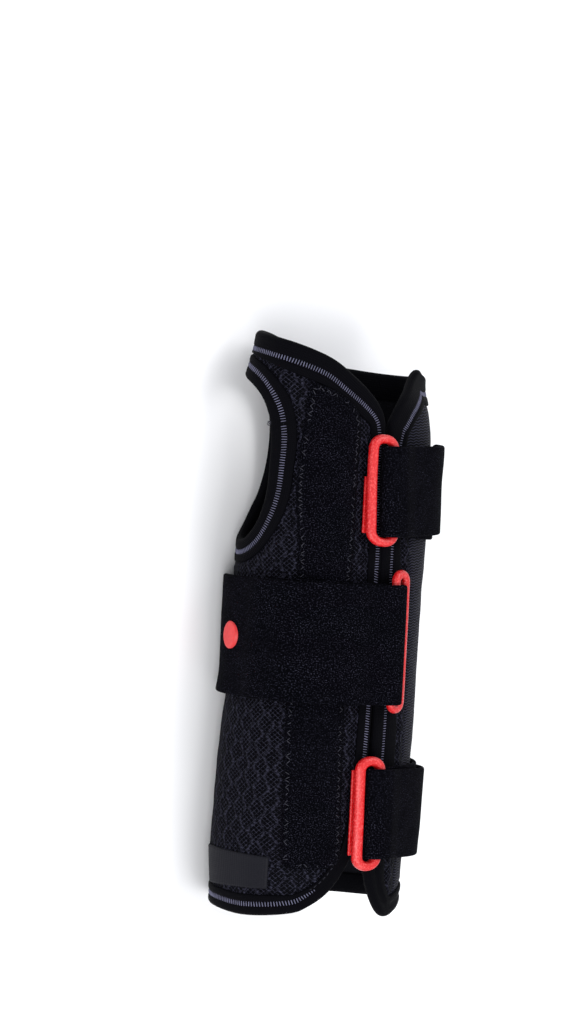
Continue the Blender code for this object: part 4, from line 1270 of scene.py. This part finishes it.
class BRACE_OT_rings(bpy.types.Operator):
    """Moulded rings with their sewn feet"""

    bl_idname = "brace.rings"
    bl_label = "Rings"

    def execute(self, context):
        for name, (around, along, width, length, slot, turn) in RINGS.items():
            side = -1 if name == "wrist_ring" else 1
            x0, y0 = around * GIRTH, along * BODY_LENGTH
            piece = flat_ring("moulded_" + name, width, length, slot)
            tilt = -side * 1.05 * MM / (width - RING_BAR)
            bend_onto_body(piece, x0, y0, math.radians(turn), RING_MIDDLE, tilt)
            piece.data.materials.append(material_for(moulded_nylon))
            belongs(piece, "red_nylon", name)
            if name in FEET:
                off, up, size, lean = FEET[name]
                foot = flat_foot("sewn_foot_of_" + name, size)
                bend_onto_body(foot, x0 + off - 1.3 * MM, y0 + up, math.radians(lean), FOOT_MIDDLE, 0)
                foot.data.materials.append(material_for(moulded_nylon))
                belongs(foot, "red_nylon")
        return {"FINISHED"}


class BRACE_OT_label(bpy.types.Operator):
    """Bare satin label folded under at its edges"""

    bl_idname = "brace.label"
    bl_label = "Label"

    def execute(self, context):
        corners = np.array(LABEL) * (GIRTH, BODY_LENGTH)
        along = np.concatenate([(0, 0.004, 0.012), np.linspace(0.03, 0.97, 40), (0.988, 0.996, 1)])
        down = np.concatenate([(0, 0.015, 0.05), np.linspace(0.1, 0.9, 9), (0.95, 0.985, 1)])
        top = corners[0] + (corners[1] - corners[0]) * along[:, None]
        bottom = corners[3] + (corners[2] - corners[3]) * along[:, None]
        flat = top[:, None] + (bottom - top)[:, None] * down[None, :, None]
        tall = np.interp(np.minimum(down, 1 - down), (0, 0.015, 0.05, 0.1), (0.12, 0.42, 0.56, 0.5))
        ends = np.interp(np.minimum(along, 1 - along), (0, 0.004, 0.012, 0.03), (0.2, 0.75, 1.0, 1.0))
        rise = 3.25 * MM + tall[None, :] * ends[:, None] * MM
        rise = rise + 0.05 * MM * unevenness(*np.moveaxis(flat, 2, 0))
        outer = lift(flat[..., 0], flat[..., 1], rise)
        inner = lift(flat[..., 0], flat[..., 1], np.full(rise.shape, 3.15 * MM))
        rings = np.concatenate([outer, inner[:, ::-1]], axis=1)
        deep = float(np.hypot(*(corners[3] - corners[0])))
        wide = float(np.hypot(*(corners[1] - corners[0])))
        across = np.concatenate([down * deep, deep + down * deep, [2 * deep]])
        piece = swept_piece("satin_label", rings, along * wide, across, False,
                            [material_for(woven_satin)])
        belongs(piece, "label_satin", "blank_label")
        return {"FINISHED"}


class BRACE_OT_dot(bpy.types.Operator):
    """Soft rubber dot on the wide strap"""

    bl_idname = "brace.dot"
    bl_label = "Dot"

    def execute(self, context):
        x, y = np.array(DOT_PLACE) * (GIRTH, BODY_LENGTH)
        base = WALL + LAYER_GAP + STRAP_THICKNESS * HOOK_TAB + STRAPS["wrist_strap"][7]
        low, high = (Vector(lift(x, y, h)) for h in (base, base + 2 * MM))
        out = Euler((0, math.radians(-DOT_LEAN), 0)).to_matrix() @ (high - low).normalized()
        deselect()
        bpy.ops.mesh.primitive_cylinder_add(
            vertices=64, radius=context.scene.brace_sizes.dot_diameter / 2, depth=2.6 * MM,
            location=low - out * 1.05 * MM, rotation=out.to_track_quat("Z", "Y").to_euler(),
        )
        piece = context.active_object
        piece.name = piece.data.name = "rubber_dot"
        bpy.ops.object.transform_apply(location=True, rotation=True, scale=True)
        edit("DESELECT")
        bpy.ops.object.mode_set(mode="OBJECT")
        for face in piece.data.polygons:
            face.select = face.normal.dot(out) > 0.9
        bpy.ops.object.mode_set(mode="EDIT")
        bpy.ops.mesh.select_mode(type="FACE")
        bpy.ops.mesh.inset(thickness=0.25 * MM, depth=0.20 * MM)
        bpy.ops.mesh.inset(thickness=0.5 * MM, depth=0.08 * MM)
        bpy.ops.mesh.inset(thickness=1.6 * MM, depth=0.04 * MM)
        bpy.ops.object.mode_set(mode="OBJECT")
        bpy.ops.object.shade_smooth_by_angle(angle=math.radians(60))
        piece.data.materials.append(material_for(moulded_rubber))
        belongs(piece, "red_rubber", "strap_dot")
        return {"FINISHED"}


class BRACE_OT_stage(bpy.types.Operator):
    """Pale floor, soft studio light and the camera"""

    bl_idname = "brace.stage"
    bl_label = "Stage"

    def execute(self, context):
        deselect()
        bpy.ops.mesh.primitive_plane_add(size=8, location=(0, 0, 0))
        floor = context.active_object
        floor.name = floor.data.name = "floor"
        floor.data.materials.append(material_for(pale_floor))
        world = bpy.data.worlds.new("Soft room light")
        context.scene.world = world
        world.use_nodes = True
        world.node_tree.nodes["Background"].inputs[0].default_value = (*linear("#f4f6fa"), 1)
        world.node_tree.nodes["Background"].inputs[1].default_value = 0.75
        for name, spot, size, power in (
            ("Key softbox", (-0.95, -0.35, 0.75), 0.7, 10.0),
            ("Fill softbox", (0.35, 0.75, 1.05), 0.8, 7.0),
            ("Top softbox", (-0.15, -0.75, 1.15), 0.8, 6.0),
        ):
            lamp = bpy.data.lights.new(name, "AREA")
            lamp.size = size
            lamp.energy = power
            holder = bpy.data.objects.new(name, lamp)
            context.collection.objects.link(holder)
            holder.location = spot
            holder.rotation_euler = (-Vector(spot)).to_track_quat("-Z", "Y").to_euler()
        camera = bpy.data.cameras.new("Camera")
        camera.lens = 100
        camera.sensor_width = 36
        holder = bpy.data.objects.new("Camera", camera)
        context.collection.objects.link(holder)
        holder.location = (-0.72704, 0.06296, 0.68433)
        holder.rotation_euler = Euler([math.radians(a) for a in (-6.082, -46.715, 6.276)])
        context.scene.camera = holder
        context.scene.view_settings.view_transform = "Standard"
        return {"FINISHED"}


class BRACE_PT_panel(bpy.types.Panel):
    """Pieces of the wrist brace"""

    bl_idname = "BRACE_PT_panel"
    bl_label = "Wrist brace"
    bl_space_type = "VIEW_3D"
    bl_region_type = "UI"
    bl_category = "Wrist brace"

    def draw(self, context):
        for operator in OPERATORS:
            self.layout.operator(operator.bl_idname)
        for group in (context.scene.brace_sizes, context.scene.brace_colours):
            for name in group.__annotations__:
                self.layout.prop(group, name)


OPERATORS = (
    BRACE_OT_wall,
    BRACE_OT_elastic,
    BRACE_OT_tapes,
    BRACE_OT_ladders,
    BRACE_OT_pocket,
    BRACE_OT_rings,
    BRACE_OT_straps,
    BRACE_OT_label,
    BRACE_OT_dot,
    BRACE_OT_stage,
)
CLASSES = (BraceSizes, BraceColours, *OPERATORS, BRACE_PT_panel)


def register():
    for item in CLASSES:
        bpy.utils.register_class(item)
    bpy.types.Scene.brace_sizes = bpy.props.PointerProperty(type=BraceSizes)
    bpy.types.Scene.brace_colours = bpy.props.PointerProperty(type=BraceColours)


def unregister():
    del bpy.types.Scene.brace_sizes
    del bpy.types.Scene.brace_colours
    for item in reversed(CLASSES):
        bpy.utils.unregister_class(item)


def main():
    register()
    bpy.ops.brace.wall()
    bpy.ops.brace.elastic()
    bpy.ops.brace.tapes()
    bpy.ops.brace.ladders()
    bpy.ops.brace.pocket()
    bpy.ops.brace.rings()
    bpy.ops.brace.straps()
    bpy.ops.brace.label()
    bpy.ops.brace.dot()
    bpy.ops.brace.stage()


if __name__ == "__main__":
    main()
